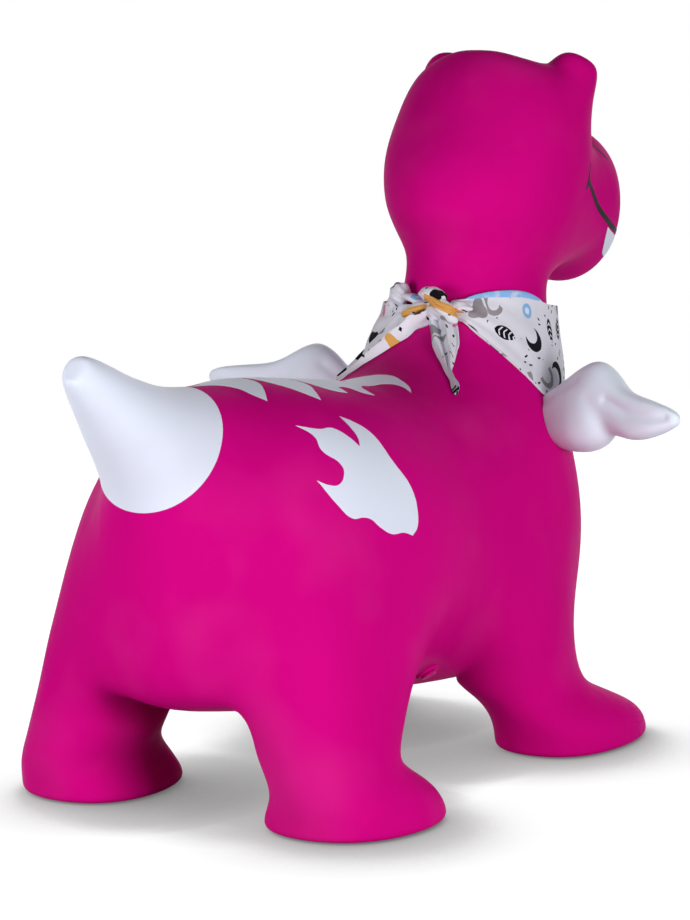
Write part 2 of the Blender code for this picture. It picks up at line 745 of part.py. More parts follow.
def outline_prism(name, outline, near, far, frame, collection):
    """A block with this outline in the frame's XY plane, from near to far along the frame's Z axis."""
    curve = bpy.data.curves.new(name, "CURVE")
    curve.dimensions = "2D"
    curve.fill_mode = "BOTH"
    curve.extrude = (far - near) / 2
    spline = curve.splines.new("BEZIER")
    spline.use_cyclic_u = True
    spline.resolution_u = OUTLINE_STEPS
    spline.bezier_points.add(len(outline) - 1)
    for point, (x, y, corner) in zip(spline.bezier_points, outline):
        point.co = (x, y, 0)
        point.handle_left_type = point.handle_right_type = "VECTOR" if corner else "AUTO"
    drawn = bpy.data.objects.new(name + "_curve", curve)
    collection.objects.link(drawn)
    graph = bpy.context.evaluated_depsgraph_get()
    mesh = bmesh.new()
    mesh.from_mesh(drawn.evaluated_get(graph).to_mesh())
    bpy.data.objects.remove(drawn)
    bmesh.ops.remove_doubles(mesh, verts=mesh.verts, dist=MERGE_DISTANCE)
    bmesh.ops.transform(mesh, matrix=frame @ Matrix.Translation((0, 0, (near + far) / 2)), verts=mesh.verts)
    bmesh.ops.recalc_face_normals(mesh, faces=mesh.faces)
    return make_object(name, mesh, collection)


def rod(name, radius, low, high, frame, collection):
    """A round bar along the frame's Z axis."""
    mesh = bmesh.new()
    bmesh.ops.create_cone(
        mesh,
        cap_ends=True,
        segments=ROUND_STEPS,
        radius1=radius,
        radius2=radius,
        depth=high - low,
        matrix=frame @ Matrix.Translation((0, 0, (low + high) / 2)),
    )
    return make_object(name, mesh, collection)


def axes(x_axis, y_axis, z_axis, place=(0, 0, 0)):
    """A frame from its three axes."""
    turn = Matrix((x_axis, y_axis, z_axis)).transposed().to_4x4()
    turn.translation = place
    return turn


def paint_film(name, prism, parts, base, roughness):
    """A thin painted area: a layer just off the skin, kept where it lies in the prism."""
    made = skin_form(name, parts)
    grow(made, CLEARANCE)
    solidify(made, PAINT_THICKNESS, 1)
    boolean(made, prism, "INTERSECT")
    colour(made, "paint", base, roughness)
    return made


def tail_marking(parts, cutters):
    """The tail's white paint, everything behind a tilted plane."""
    top, low = (torso_place(0, y, z) for y, z in TAIL_PAINT_SHARES)
    side = Vector((1, 0, 0))
    down = (low - top).normalized()
    back = side.cross(down)
    mesh = bmesh.new()
    middle = (top + low) / 2 + back * TORSO_WIDTH / 2
    bmesh.ops.create_cube(mesh, size=TORSO_WIDTH, matrix=axes(side, back, -down, middle))
    prism = make_object("tail_paint_block", mesh, cutters)
    paint_film("tail_paint", prism, parts, WHITE, SATIN_ROUGHNESS)


def back_markings(parts, cutters):
    above = axes((1, 0, 0), (0, 1, 0), (0, 0, 1))
    band = [share * SEAT_HEIGHT for share in CREST_BAND_SHARES]
    for name, shares in (
        ("back_flame_rear", REAR_FLAME_SHARES),
        ("back_flame_middle", MIDDLE_FLAME_SHARES),
        ("back_flame_front", FRONT_FLAME_SHARES),
    ):
        right = [(-x * CREST_WIDTH, y * TORSO_LENGTH, corner) for x, y, corner in shares]
        left = [(-x, y, corner) for x, y, corner in reversed(right) if x]
        prism = outline_prism(name + "_outline", right + left, *band, above, cutters)
        paint_film(name, prism, parts, WHITE, SATIN_ROUGHNESS)


def side_markings(parts, cutters):
    lean = math.radians(PATCH_LEAN)
    outline = [(x * PATCH_SIZE, y * PATCH_SIZE, corner) for x, y, corner in PATCH_SHARES]
    centre = torso_place(*PATCH_CENTRE_SHARES)
    for name, sign in (("side_patch_left", 1), ("side_patch_right", -1)):
        rise = Vector((-sign * math.sin(lean), 0, math.cos(lean)))
        out = Vector((sign * math.cos(lean), 0, math.sin(lean)))
        frame = axes((0, 1, 0), rise, out, (sign * centre.x, centre.y, centre.z))
        prism = outline_prism(name + "_outline", outline, -PATCH_REACH, PATCH_REACH, frame, cutters)
        paint_film(name, prism, parts, WHITE, SATIN_ROUGHNESS)


def face_outline(shares):
    forwards, up = FACE_CENTRE_SHARES
    rear = NECK_Y - forwards * SNOUT_REACH
    height = SEAT_HEIGHT + up * head_rise()
    return [(rear + x * FACE_SIZE, height + y * FACE_SIZE, corner) for x, y, corner in shares]


def mouth_markings(parts, cutters):
    """The mouth line round the snout, and a tooth on each side."""
    side = axes((0, 1, 0), (0, 0, 1), (1, 0, 0))
    inner = FACE_INNER_SHARE * HEAD_WIDTH
    prism = outline_prism("mouth_outline", face_outline(MOUTH_SHARES), -HEAD_WIDTH, HEAD_WIDTH, side, cutters)
    paint_film("mouth_line", prism, parts, BLACK, SATIN_ROUGHNESS)
    for label, near, far in (("left", inner, HEAD_WIDTH), ("right", -HEAD_WIDTH, -inner)):
        prism = outline_prism("tooth_outline_" + label, face_outline(TOOTH_SHARES), near, far, side, cutters)
        paint_film("tooth_" + label, prism, parts, WHITE, SATIN_ROUGHNESS)


def mark_frame(tree, shares, sign):
    """A frame on the face, Z out of the skin and Y up it; sign is 1 for the left half, -1 for the right."""
    x, y, z = shares
    aim = Vector((sign * x * HEAD_WIDTH / 2, NECK_Y - y * SNOUT_REACH, SEAT_HEIGHT + z * head_rise()))
    place, out = tree.find_nearest(aim)[:2]
    side = Vector((0, 0, 1)).cross(out).normalized()
    return axes(side, out.cross(side), out, place)


def oval(up, width, height):
    """Curve points of an oval round this middle."""
    turns = [math.tau * step / EYE_POINTS for step in range(EYE_POINTS)]
    return [(width / 2 * math.cos(turn), up + height / 2 * math.sin(turn), 0) for turn in turns]


def nostrils_and_eyes(parts, cutters, tree):
    """On each side a nostril stroke, a white oval and a dark pupil."""
    room = 2 * CLEARANCE
    ovals = {
        "eye_outline_": oval(0, EYE_WIDTH, EYE_HEIGHT),
        "pupil_gap_": oval(-PUPIL_DROP, PUPIL_WIDTH + room, PUPIL_HEIGHT + room),
        "pupil_outline_": oval(-PUPIL_DROP, PUPIL_WIDTH, PUPIL_HEIGHT),
    }
    for label, sign in (("left", 1), ("right", -1)):
        frame = mark_frame(tree, NOSTRIL_CENTRE_SHARES, sign)
        outline = [(-sign * x * FACE_SIZE, y * FACE_SIZE, corner) for x, y, corner in NOSTRIL_SHARES]
        prism = outline_prism("nostril_outline_" + label, outline, -MARK_REACH, MARK_REACH, frame, cutters)
        paint_film("nostril_" + label, prism, parts, BLACK, SATIN_ROUGHNESS)
        frame = mark_frame(tree, EYE_CENTRE_SHARES, sign)
        whole, gap, dark = (
            outline_prism(name + label, points, -MARK_REACH, MARK_REACH, frame, cutters)
            for name, points in ovals.items()
        )
        white = paint_film("eye_white_" + label, whole, parts, WHITE, SATIN_ROUGHNESS)
        boolean(white, gap, "DIFFERENCE")
        paint_film("eye_pupil_" + label, dark, parts, BLACK, GLOSSY_ROUGHNESS)


def valve_frame(tree):
    """A frame on the underside of the skin, with Z pointing out of it."""
    x, y = VALVE_PLACE_SHARES
    start = Vector((x * TORSO_WIDTH / 2, y * TORSO_LENGTH, 0))
    place, normal = tree.ray_cast(start, (0, 0, 1))[:2]
    return Matrix.Translation(place) @ normal.to_track_quat("Z", "Y").to_matrix().to_4x4()


def valve(parts, cutters, skin, body, frame):
    """The valve seat set in the belly, and the plug that pulls out of it."""
    below, above = -VALVE_TUBE_DEPTH - VALVE_OVERRUN, VALVE_OVERRUN
    hole = rod("valve_hole", VALVE_TUBE_RADIUS + CLEARANCE, below, above, frame, cutters)
    boolean(body, hole, "DIFFERENCE")
    seat = rod("valve_seat", VALVE_FLANGE_RADIUS, -VALVE_FLANGE_BED, VALVE_FLANGE_LIFT, frame, parts)
    boolean(seat, skin, "DIFFERENCE")
    tube = rod("valve_tube", VALVE_TUBE_RADIUS, -VALVE_TUBE_DEPTH, VALVE_FLANGE_LIFT, frame, cutters)
    boolean(seat, tube, "UNION")
    bore = rod("valve_bore", VALVE_BORE_RADIUS, below, above, frame, cutters)
    boolean(seat, bore, "DIFFERENCE")
    colour(seat, "vinyl", MAGENTA, SATIN_ROUGHNESS)
    stem = VALVE_BORE_RADIUS - CLEARANCE
    head = VALVE_FLANGE_LIFT + CLEARANCE
    crown = head + PLUG_HEAD_HEIGHT
    profile = (
        (0, crown),
        (PLUG_HEAD_RADIUS - PLUG_CHAMFER, crown),
        (PLUG_HEAD_RADIUS, crown - PLUG_CHAMFER),
        (PLUG_HEAD_RADIUS, head),
        (stem, head),
        (stem, PLUG_CHAMFER - PLUG_STEM_DEPTH),
        (stem - PLUG_CHAMFER, -PLUG_STEM_DEPTH),
        (0, -PLUG_STEM_DEPTH),
    )
    mesh = bmesh.new()
    row = add_row(mesh, [Vector((x, 0, z)) for x, z in profile])
    for first, second in zip(row, row[1:]):
        mesh.edges.new((first, second))
    plug = make_object("valve_plug", mesh, parts)
    spin = plug.modifiers.new("turned", "SCREW")
    spin.steps = spin.render_steps = ROUND_STEPS
    spin.use_merge_vertices = True
    spin.merge_threshold = MERGE_DISTANCE
    plug.matrix_world = frame
    colour(plug, "vinyl", MAGENTA, SATIN_ROUGHNESS)
    for made in (seat, plug):
        made.data.set_sharp_from_angle(angle=math.radians(SHARP_ANGLE))


def wings(parts, cutters, skin):
    """Hollow soft grips whose open roots follow the shoulders, and the room that they take."""
    rooms = []
    for name, side in (("wing_handle_left", 1), ("wing_handle_right", -1)):
        made = make_object(name, wing_cage(side), parts)
        room = make_object(name + "_clearance", wing_cage(side), cutters)
        for wing in (made, room):
            subdivide(wing, SUBDIVISIONS)
        grow(room, CLEARANCE)
        rooms.append(room)
        solidify(made, SKIN, -1)
        boolean(made, skin, "DIFFERENCE")
        colour(made, "vinyl", WHITE, SATIN_ROUGHNESS)
    return rooms


def knot_form(name, place, collection):
    mesh = bmesh.new()
    size = Matrix.Diagonal((KNOT_WIDTH, KNOT_DEPTH, KNOT_LENGTH, 1))
    turn = Matrix.Rotation(math.radians(KNOT_TURN), 4, "Z")
    tilt = Matrix.Rotation(-math.radians(KNOT_TILT), 4, "X")
    bmesh.ops.create_cube(mesh, size=1, matrix=Matrix.Translation(place) @ turn @ tilt @ size)
    made = make_object(name, mesh, collection)
    subdivide(made, SUBDIVISIONS + 1)
    return made


def scarf(parts, cutters, skin, tree, wing_rooms):
    """The neckerchief: the wrap with its hem, the knot at the nape and two loose ends."""
    wrap = make_object("scarf_wrap", scarf_sheet(tree, False), parts)
    hem = make_object("scarf_hem", scarf_sheet(tree, True), parts)
    wrap_room = make_object("scarf_wrap_clearance", scarf_sheet(tree, False), cutters)
    for sheet in (wrap, hem, wrap_room):
        solidify(sheet, SCARF_THICKNESS, 1)
    grow(wrap_room, CLEARANCE)
    for other in (skin, *wing_rooms):
        boolean(wrap, other, "DIFFERENCE")
    colour(wrap, "cotton", CLOTH, WOVEN_ROUGHNESS)
    colour(hem, "cotton", PALE_BLUE, WOVEN_ROUGHNESS)
    height = scarf_top() - KNOT_DROP_SHARE * SCARF_DROP
    place = on_neck(tree, KNOT_TURN, height, KNOT_LIFT)
    knot = knot_form("scarf_knot", place, parts)
    knot_room = knot_form("scarf_knot_clearance", place, cutters)
    grow(knot_room, CLEARANCE)
    boolean(knot, skin, "DIFFERENCE")
    boolean(knot, wrap_room, "DIFFERENCE")
    colour(knot, "cotton", CLOTH, WOVEN_ROUGHNESS)
    room = [skin, wrap_room, knot_room]
    for name, rows in (("scarf_tail_right", RIGHT_TAIL_SHARES), ("scarf_tail_left", LEFT_TAIL_SHARES)):
        made = make_object(name, tail_cage(tree, rows, place), parts)
        taken = make_object(name + "_clearance", tail_cage(tree, rows, place), cutters)
        for tail in (made, taken):
            subdivide(tail, SUBDIVISIONS)
        grow(taken, CLEARANCE)
        for other in room:
            boolean(made, other, "DIFFERENCE")
        room.append(taken)
        colour(made, "cotton", CLOTH, WOVEN_ROUGHNESS)


def main():
    for old in list(bpy.data.objects):
        bpy.data.objects.remove(old)
    parts = bpy.data.collections.new("bouncy_dinosaur")
    cutters = bpy.data.collections.new("cutters")
    for group in (parts, cutters):
        bpy.context.scene.collection.children.link(group)
    skin = skin_form("skin_clearance", cutters)
    tree = BVHTree.FromObject(skin, bpy.context.evaluated_depsgraph_get())
    grow(skin, CLEARANCE)
    body = skin_form("body_skin", parts)
    solidify(body, SKIN, -1)
    colour(body, "vinyl", MAGENTA, SATIN_ROUGHNESS)
    valve(parts, cutters, skin, body, valve_frame(tree))
    tail_marking(parts, cutters)
    back_markings(parts, cutters)
    side_markings(parts, cutters)
    mouth_markings(parts, cutters)
    nostrils_and_eyes(parts, cutters, tree)
    scarf(parts, cutters, skin, tree, wings(parts, cutters, skin))
    for helper in cutters.objects:
        helper.hide_render = True
        helper.display_type = "WIRE"
    origin = bpy.data.objects.new("assembly_origin", None)
    parts.objects.link(origin)
    for made in list(parts.objects) + list(cutters.objects):
        if made != origin:
            made.parent = origin
    origin.location.y = ORIGIN_SHIFT


if __name__ == "__main__":
    main()
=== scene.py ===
"""Looks of the bouncy ride-on dinosaur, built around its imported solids, with +Z up.

The pieces are made with the neck's upright line at NECK_Y and then moved by ORIGIN_SHIFT to their place.
Sizes are in metres and angles in degrees. A share is a part of a named size, and corner is 1 where an
outline turns sharply.
"""

import json
from functools import partialmethod
from math import copysign, cos, exp, pi, radians, sin, sqrt, tau

import bmesh
import bpy
import numpy as np
from mathutils import Matrix, Vector
from mathutils.bvhtree import BVHTree

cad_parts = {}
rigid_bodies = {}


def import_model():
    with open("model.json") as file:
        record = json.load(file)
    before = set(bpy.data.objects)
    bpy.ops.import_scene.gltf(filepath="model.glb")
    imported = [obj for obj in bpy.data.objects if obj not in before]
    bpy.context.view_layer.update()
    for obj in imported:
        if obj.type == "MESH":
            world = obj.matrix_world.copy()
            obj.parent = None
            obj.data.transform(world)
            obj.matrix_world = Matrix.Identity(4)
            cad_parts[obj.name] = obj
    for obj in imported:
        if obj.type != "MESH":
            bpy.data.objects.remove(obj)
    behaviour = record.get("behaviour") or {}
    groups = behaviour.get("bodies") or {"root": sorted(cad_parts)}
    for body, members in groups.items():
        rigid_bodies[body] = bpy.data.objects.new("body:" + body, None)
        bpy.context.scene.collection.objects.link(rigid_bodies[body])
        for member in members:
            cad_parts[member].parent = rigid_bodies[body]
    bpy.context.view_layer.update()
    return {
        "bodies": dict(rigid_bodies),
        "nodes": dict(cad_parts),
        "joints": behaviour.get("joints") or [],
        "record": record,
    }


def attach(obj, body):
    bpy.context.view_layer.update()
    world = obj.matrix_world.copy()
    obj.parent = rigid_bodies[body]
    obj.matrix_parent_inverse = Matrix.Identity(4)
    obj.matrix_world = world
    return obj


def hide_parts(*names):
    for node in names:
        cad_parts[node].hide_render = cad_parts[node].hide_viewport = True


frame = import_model()

# Overall sizes of the animal
OVERALL_HEIGHT = 0.52
SEAT_HEIGHT = 0.28
HEAD_RISE = OVERALL_HEIGHT - SEAT_HEIGHT
TORSO_LENGTH = 0.40
TORSO_WIDTH = 0.244

# Legs and feet
TRACK = 0.205
REAR_ANKLE_Y = 0.151
FRONT_ANKLE_Y = -0.150
ANKLE_WIDTH = 0.098
FOOT_HEIGHT = 0.046

# Neck and head
NECK_Y = -0.2185
HEAD_WIDTH = 0.176
HEAD_LENGTH = 0.180
SNOUT_REACH = 0.145
SNOUT_WIDTH = 0.124

# White painted tail, cut off by a tilted plane through its top and its lowest point.
# Each row: y as a share of TORSO_LENGTH, z of SEAT_HEIGHT.
TAIL_PAINT_SHARES = ((0.428, 1.064), (0.572, 0.78))

# White back markings seen from above; the left half mirrors the right half.
# Each row: half width as a share of CREST_WIDTH, y as a share of TORSO_LENGTH, corner.
CREST_WIDTH = 0.10
FLAME_SHARES = {
    "rear": (
        (0, 0.42, 1), (0.07, 0.367, 0), (0.19, 0.345, 0), (0.28, 0.342, 0), (0.39, 0.332, 1),
        (0.29, 0.305, 0), (0.18, 0.282, 0), (0, 0.267, 1),
    ),
    "middle": (
        (0, 0.257, 1), (0.21, 0.257, 0), (0.34, 0.245, 0), (0.44, 0.235, 0), (0.54, 0.222, 1),
        (0.43, 0.197, 0), (0.28, 0.165, 0), (0, 0.15, 1),
    ),
    "front": (
        (0, 0.14, 1), (0.24, 0.145, 0), (0.35, 0.137, 0), (0.41, 0.122, 0), (0.44, 0.097, 1),
        (0.32, 0.082, 1), (0.33, 0.055, 0), (0.42, 0.042, 0), (0.46, 0.015, 1), (0.32, 0, 0),
        (0.18, -0.087, 1), (0.18, -0.145, 0), (0.24, -0.155, 0), (0.39, -0.142, 1), (0.32, -0.165, 0),
        (0.18, -0.19, 0), (0.07, -0.205, 0), (0, -0.207, 0),
    ),
}
CREST_BAND_SHARES = (0.89, 1.15)

# White flank markings, drawn on a plane leaning by PATCH_LEAN and pressed through the flank by PATCH_REACH.
# The centre's x is a share of half TORSO_WIDTH, y of TORSO_LENGTH, z of SEAT_HEIGHT.
# Each row: rearwards and up as shares of PATCH_SIZE, corner.
PATCH_SIZE = 0.08
PATCH_REACH = 0.045
PATCH_LEAN = 40
PATCH_CENTRE_SHARES = (0.807, 0.2675, 0.842)
PATCH_SHARES = (
    (0.33, 0.62, 1), (0.16, 0.51, 0), (0.03, 0.48, 0), (-0.04, 0.39, 0), (-0.1, 0.23, 1),
    (-0.16, 0.32, 0), (-0.18, 0.42, 0), (-0.19, 0.58, 1), (-0.31, 0.47, 0), (-0.38, 0.36, 0),
    (-0.4, 0.03, 0), (-0.49, -0.24, 0), (-0.46, -0.46, 0), (-0.4, -0.56, 0), (-0.31, -0.61, 1),
    (-0.2, -0.57, 0), (-0.03, -0.55, 0), (0.08, -0.48, 0), (0.17, -0.38, 0), (0.23, -0.35, 0),
    (0.34, -0.32, 0), (0.42, -0.18, 0), (0.48, 0.09, 1), (0.41, 0.01, 0), (0.34, -0.02, 0),
    (0.24, 0.04, 0), (0.21, 0.12, 0), (0.29, 0.32, 0), (0.26, 0.46, 0),
)

# Face markings drawn from the side. The centre's y is measured forwards from NECK_Y as a share of
# SNOUT_REACH, its z up from SEAT_HEIGHT as a share of the head's rise.
# Each row: rearwards and up as shares of FACE_SIZE, corner.
FACE_SIZE = 0.10
FACE_CENTRE_SHARES = (0.562, 0.5)
FACE_INNER_SHARE = 0.125
MOUTH_SHARES = (
    (0.3, 0.375, 1), (0.307, 0.25, 0), (0.216, 0.169, 0), (0.047, 0.042, 0), (-0.103, -0.04, 0),
    (-0.231, -0.093, 0), (-0.382, -0.149, 0), (-0.554, -0.2, 0), (-0.72, -0.236, 1), (-0.72, -0.256, 1),
    (-0.546, -0.231, 0), (-0.369, -0.185, 0), (-0.217, -0.131, 0), (-0.085, -0.078, 0),
    (0.073, 0.004, 0), (0.244, 0.135, 0), (0.315, 0.195, 1), (0.385, 0.16, 1), (0.35, 0.255, 0),
)
TOOTH_SHARES = (
    (-0.235, -0.152, 1), (-0.37, -0.201, 0), (-0.555, -0.25, 1), (-0.555, -0.33, 0), (-0.49, -0.405, 1),
    (-0.425, -0.385, 0), (-0.325, -0.292, 0), (-0.265, -0.212, 0),
)

# Marks pressed straight onto the face, each placed by its middle: x as a share of half HEAD_WIDTH,
# y forwards from NECK_Y as a share of SNOUT_REACH, z up from SEAT_HEIGHT as a share of the head's rise.
MARK_REACH = 0.010
NOSTRIL_CENTRE_SHARES = (0.665, 0.679, 0.702)
EYE_CENTRE_SHARES = (0.5, 0.575, 0.862)

# Nostril outline. Each row: forwards and up along the surface as shares of FACE_SIZE, corner.
NOSTRIL_SHARES = (
    (0.022, 0.1, 1), (-0.012, 0.035, 0), (-0.008, -0.02, 0), (0.03, -0.058, 0), (0.085, -0.085, 1),
    (0.052, -0.04, 0), (0.022, -0.008, 0), (0.012, 0.035, 0),
)

# Eyes
EYE_WIDTH = 0.026
EYE_HEIGHT = 0.034
PUPIL_WIDTH = 0.0154
PUPIL_HEIGHT = 0.0198
PUPIL_DROP = 0.0038
GLINT_SIZE = 0.28 * PUPIL_WIDTH
# Each part: name, slot and node, to which the side is added, width, height, shift aside and up, and how
# many times FILM_GAP it lies off the skin.
EYE_PARTS = (
    ("eye_paint_", "paint_white", "eye_white_", EYE_WIDTH, EYE_HEIGHT, 0, 0, 1),
    ("pupil_paint_", "paint_black", "eye_pupil_", PUPIL_WIDTH, PUPIL_HEIGHT, 0, -PUPIL_DROP, 4),
    # The glint is a painted highlight, a small white spot on the pupil.
    ("eye_glint_", "paint_white", "", GLINT_SIZE, GLINT_SIZE, GLINT_SIZE / 2, 0, 7),
)

# Wing grips: sections from inside the shoulder to the tip, as shares of WING_SPAN.
# The left one stands a few degrees higher than the right one, and as far out.
# The root's x is a share of half TORSO_WIDTH, y of TORSO_LENGTH, z of SEAT_HEIGHT.
# Each row: top outwards, top up, bottom outwards, bottom up, upper, middle and lower half depth.
WING_SPAN = 0.104
WING_SWEEP = 16.3
WING_LEAN = 16.4
WING_RISE_LEFT = 6
WING_RISE_RIGHT = 0
WING_SHIFT_LEFT = 0.00312
WING_ROOT_SHARES = (0.869, -0.43, 0.8)
WING_SHARES = (
    (-0.42, 0.31, -0.2, 0.03, 0.13, 0.15, 0.14), (-0.14, 0.47, 0.08, -0.01, 0.14, 0.18, 0.18),
    (0.02, 0.62, 0.25, 0.02, 0.14, 0.18, 0.19), (0.18, 0.7, 0.36, 0.09, 0.14, 0.16, 0.15),
    (0.32, 0.61, 0.42, 0.17, 0.13, 0.13, 0.09), (0.47, 0.48, 0.6, 0.12, 0.12, 0.09, 0.11),
    (0.69, 0.44, 0.8, 0.17, 0.1, 0.08, 0.09), (0.9, 0.4, 0.95, 0.24, 0.07, 0.06, 0.06),
    (1.01, 0.355, 1.02, 0.29, 0.03, 0.03, 0.03),
)
WING_TURN_SHARES = (1, 0.71, 0, -0.71, -1, -0.71, 0, 0.71)

# Inflation valve, on the underside. Its x is a share of half TORSO_WIDTH, its y of TORSO_LENGTH.
VALVE_PLACE_SHARES = (-0.59, -0.0625)
VALVE_FLANGE_RADIUS = 0.009
VALVE_FLANGE_LIFT = 0.0018
VALVE_FLANGE_BED = 0.0030
VALVE_TUBE_RADIUS = 0.0048
VALVE_TUBE_DEPTH = 0.009
VALVE_BORE_RADIUS = 0.0030
PLUG_HEAD_RADIUS = 0.0062
PLUG_HEAD_HEIGHT = 0.0018
PLUG_STEM_DEPTH = 0.0065
PLUG_CHAMFER = 0.0008
VALVE_OVERRUN = 0.010

# Neckerchief, wrapped round the neck about the upright line at NECK_Y.
# Each row: degrees from the nape, top and bottom down from SCARF_TOP and lift, as shares of SCARF_DROP.
SCARF_DROP = 0.18
SCARF_THICKNESS = 0.0009
SCARF_STAND = 0.0014
HEM_HEIGHT = 0.0056
HEM_DEPTH = 0.0012
HEM_TURNS = (22, 90)
HEM_SINK = 0.3
HEM_FULLNESS = 0.6
HEM_POINTS = 16
ROLL_RADIUS = 0.0009
ROLL_POINTS = 8
ROLL_ENDING = 6
TAPER = 0.02
WRAP_RADIUS = 0.078
CLOTH_MERGE_DISTANCE = 0.000001
SCARF_START = 14
SCARF_END = 352
SCARF_TOP = SEAT_HEIGHT + 0.25 * HEAD_RISE
SCARF_RIGHT_SHARES = (
    (5, 0.04, 0.085, 0.02), (20, 0.025, 0.11, 0.016), (33, 0.015, 0.175, 0.014),
    (44, 0.013, 0.245, 0.012), (54, 0.014, 0.325, 0.01), (64, 0.017, 0.415, 0.01),
    (73, 0.025, 0.465, 0.012), (82, 0.038, 0.51, 0.016), (95, 0.059, 0.59, 0.024),
    (115, 0.074, 0.67, 0.036), (140, 0.09, 0.79, 0.03), (162, 0.095, 0.88, 0.026),
    (180, 0.095, 0.95, 0.022),
)
SCARF_LEFT_SHARES = (
    (5, 0.05, 0.13, 0.03), (20, 0.055, 0.16, 0.036), (33, 0.06, 0.21, 0.046), (44, 0.06, 0.27, 0.054),
    (56, 0.06, 0.34, 0.06), (64, 0.06, 0.38, 0.056), (73, 0.06, 0.385, 0.046), (82, 0.062, 0.41, 0.036),
    (95, 0.068, 0.56, 0.036), (115, 0.076, 0.67, 0.036), (140, 0.09, 0.79, 0.03),
    (162, 0.095, 0.88, 0.026), (180, 0.095, 0.95, 0.022),
)
# Folds: gathers fade off within GATHER_REACH degrees of the knot. Waves down the cloth, their sway,
# and for the drapes its start, their slant, and their height at the edges and extra in the middle.
GATHER_SHARE = 0.020
GATHER_REACH = 26
GATHERS = (3.2, 2.2)
DRAPE_SHARE = 0.012
DRAPES = (1.1, 0.35, 0.5, 3.5)
DRAPE_FULLNESS = (0.3, 2.8)
SCARF_COLUMNS = 260
SCARF_ROWS = 36

# Knot of the neckerchief. Each lobe: sideways, outwards and up from the knot's middle, the three
# radii in the same order, all as shares of KNOT_SIZE, and its tilt in degrees.
KNOT_SIZE = 0.027
KNOT_LIFT = 0.011
KNOT_TURN = 7
KNOT_DROP_SHARE = 0.055
KNOT_LOBE_SHARES = (
    (-0.14, 0.05, 0.34, 0.43, 0.3, 0.23, -8), (0.15, 0.2, 0.14, 0.46, 0.22, 0.14, -20),
    (0.26, 0.14, -0.12, 0.5, 0.24, 0.2, -35), (0.02, -0.08, -0.1, 0.4, 0.34, 0.3, 0),
    (0.58, -0.14, 0.02, 0.42, 0.2, 0.17, -8), (-0.78, -0.16, -0.1, 0.52, 0.28, 0.17, 22),
    (-0.86, -0.3, 0.2, 0.42, 0.22, 0.12, -12), (-1.4, -0.52, 0.3, 0.32, 0.28, 0.34, -20),
    (-1.66, -0.68, -0.1, 0.26, 0.24, 0.44, -14),
)
# Ochre stripes on the knot: sideways and up on the print, tilt in degrees, half length and half width.
KNOT_BAND_SHARES = ((0.36, -0.1, -20, 0.52, 0.13), (-0.72, -0.14, 22, 0.42, 0.08))
KNOT_PRINT_SHIFT = 0.31
KNOT_PRINT_LEAN = 0.6
KNOT_VOXEL_SHARE = 0.030
KNOT_SMOOTHING = 6
# Creases in the knot: waves upwards and sideways, their sway and its pitch, and the pitch of their fading.
KNOT_CREASES = (30, 9, 3, 5, 4)
KNOT_CREASE_SHARE = 0.020

# Loose ends of the neckerchief, laid on the skin.
# Each row: x, y, z from the knot, half width and half depth, as shares of SCARF_DROP.
RIGHT_TAIL_SHARES = (
    (0.019, -0.056, -0.009, 0.039, 0.03), (-0.01, -0.028, -0.056, 0.058, 0.03),
    (-0.063, 0.041, -0.142, 0.059, 0.026), (-0.094, 0.089, -0.183, 0.046, 0.022),
    (-0.126, 0.135, -0.224, 0.029, 0.018), (-0.154, 0.18, -0.257, 0.016, 0.014),
    (-0.193, 0.22, -0.287, 0.01, 0.012), (-0.232, 0.256, -0.312, 0.018, 0.012),
    (-0.262, 0.303, -0.335, 0.006, 0.008),
)
LEFT_TAIL_SHARES = (
    (0.02, 0, -0.01, 0.04, 0.03), (0.116, -0.02, -0.07, 0.05, 0.032),
    (0.17, 0.008, -0.113, 0.066, 0.03), (0.225, 0.04, -0.155, 0.066, 0.026),
    (0.275, 0.085, -0.198, 0.056, 0.022), (0.318, 0.125, -0.225, 0.042, 0.018),
    (0.345, 0.185, -0.255, 0.026, 0.014), (0.365, 0.235, -0.288, 0.01, 0.01),
)
# Each end: its side, its rows and the phase of its pleats.
TAILS = (("right", RIGHT_TAIL_SHARES, 0.4), ("left", LEFT_TAIL_SHARES, 2))
# TAIL_STEP and TAIL_SETTLING count rows of the tables, TAIL_PHASE_SHIFT moves the print by the phase.
TAIL_PHASE_SHIFT = 0.05
TAIL_STATIONS = 64
TAIL_POINTS = 36
TAIL_PLEATS = 2
TAIL_PLEAT_DEPTH = 0.38
TAIL_FULLNESS = 0.7
TAIL_STEP = 0.1
TAIL_SETTLING = 0.9

# Body rings. Each row: top y, top z, bottom y, bottom z, half width, lower fullness.
# y is a share of TORSO_LENGTH, z of SEAT_HEIGHT, half width of half TORSO_WIDTH.
TORSO_SHARES = {
    "tail_tip": (0.728, 1.165, 0.756, 1.103, 0.082, 1),
    "tail_point": (0.71, 1.171, 0.713, 1.039, 0.14, 0.999),
    "tail_middle": (0.639, 1.124, 0.649, 0.931, 0.232, 0.999),
    "tail_base": (0.54, 1.08, 0.59, 0.827, 0.323, 0.998),
    "tail_root": (0.434, 1.062, 0.557, 0.72, 0.375, 1.001),
    "rump": (0.328, 1.07, 0.559, 0.47, 0.571, 1.006),
    "hip_rear": (0.277, 1.08, 0.557, 0.263, 0.841, 1.067),
    "hip": (0.2, 1.073, 0.376, 0.238, 1.014, 1.087),
    "hip_front": (0.097, 1.055, 0.083, 0.186, 1.036, 1.24),
    "saddle": (0.01, 1.046, -0.061, 0.188, 0.952, 1.164),
    "shoulder_rear": (-0.082, 1.022, -0.171, 0.153, 0.922, 1.161),
    "shoulder": (-0.168, 1.021, -0.339, 0.156, 0.967, 1.138),
    "chest": (-0.265, 1.043, -0.601, 0.246, 0.951, 1.148),
    "breast": (-0.336, 1.103, -0.68, 0.533, 0.766, 0.991),
}
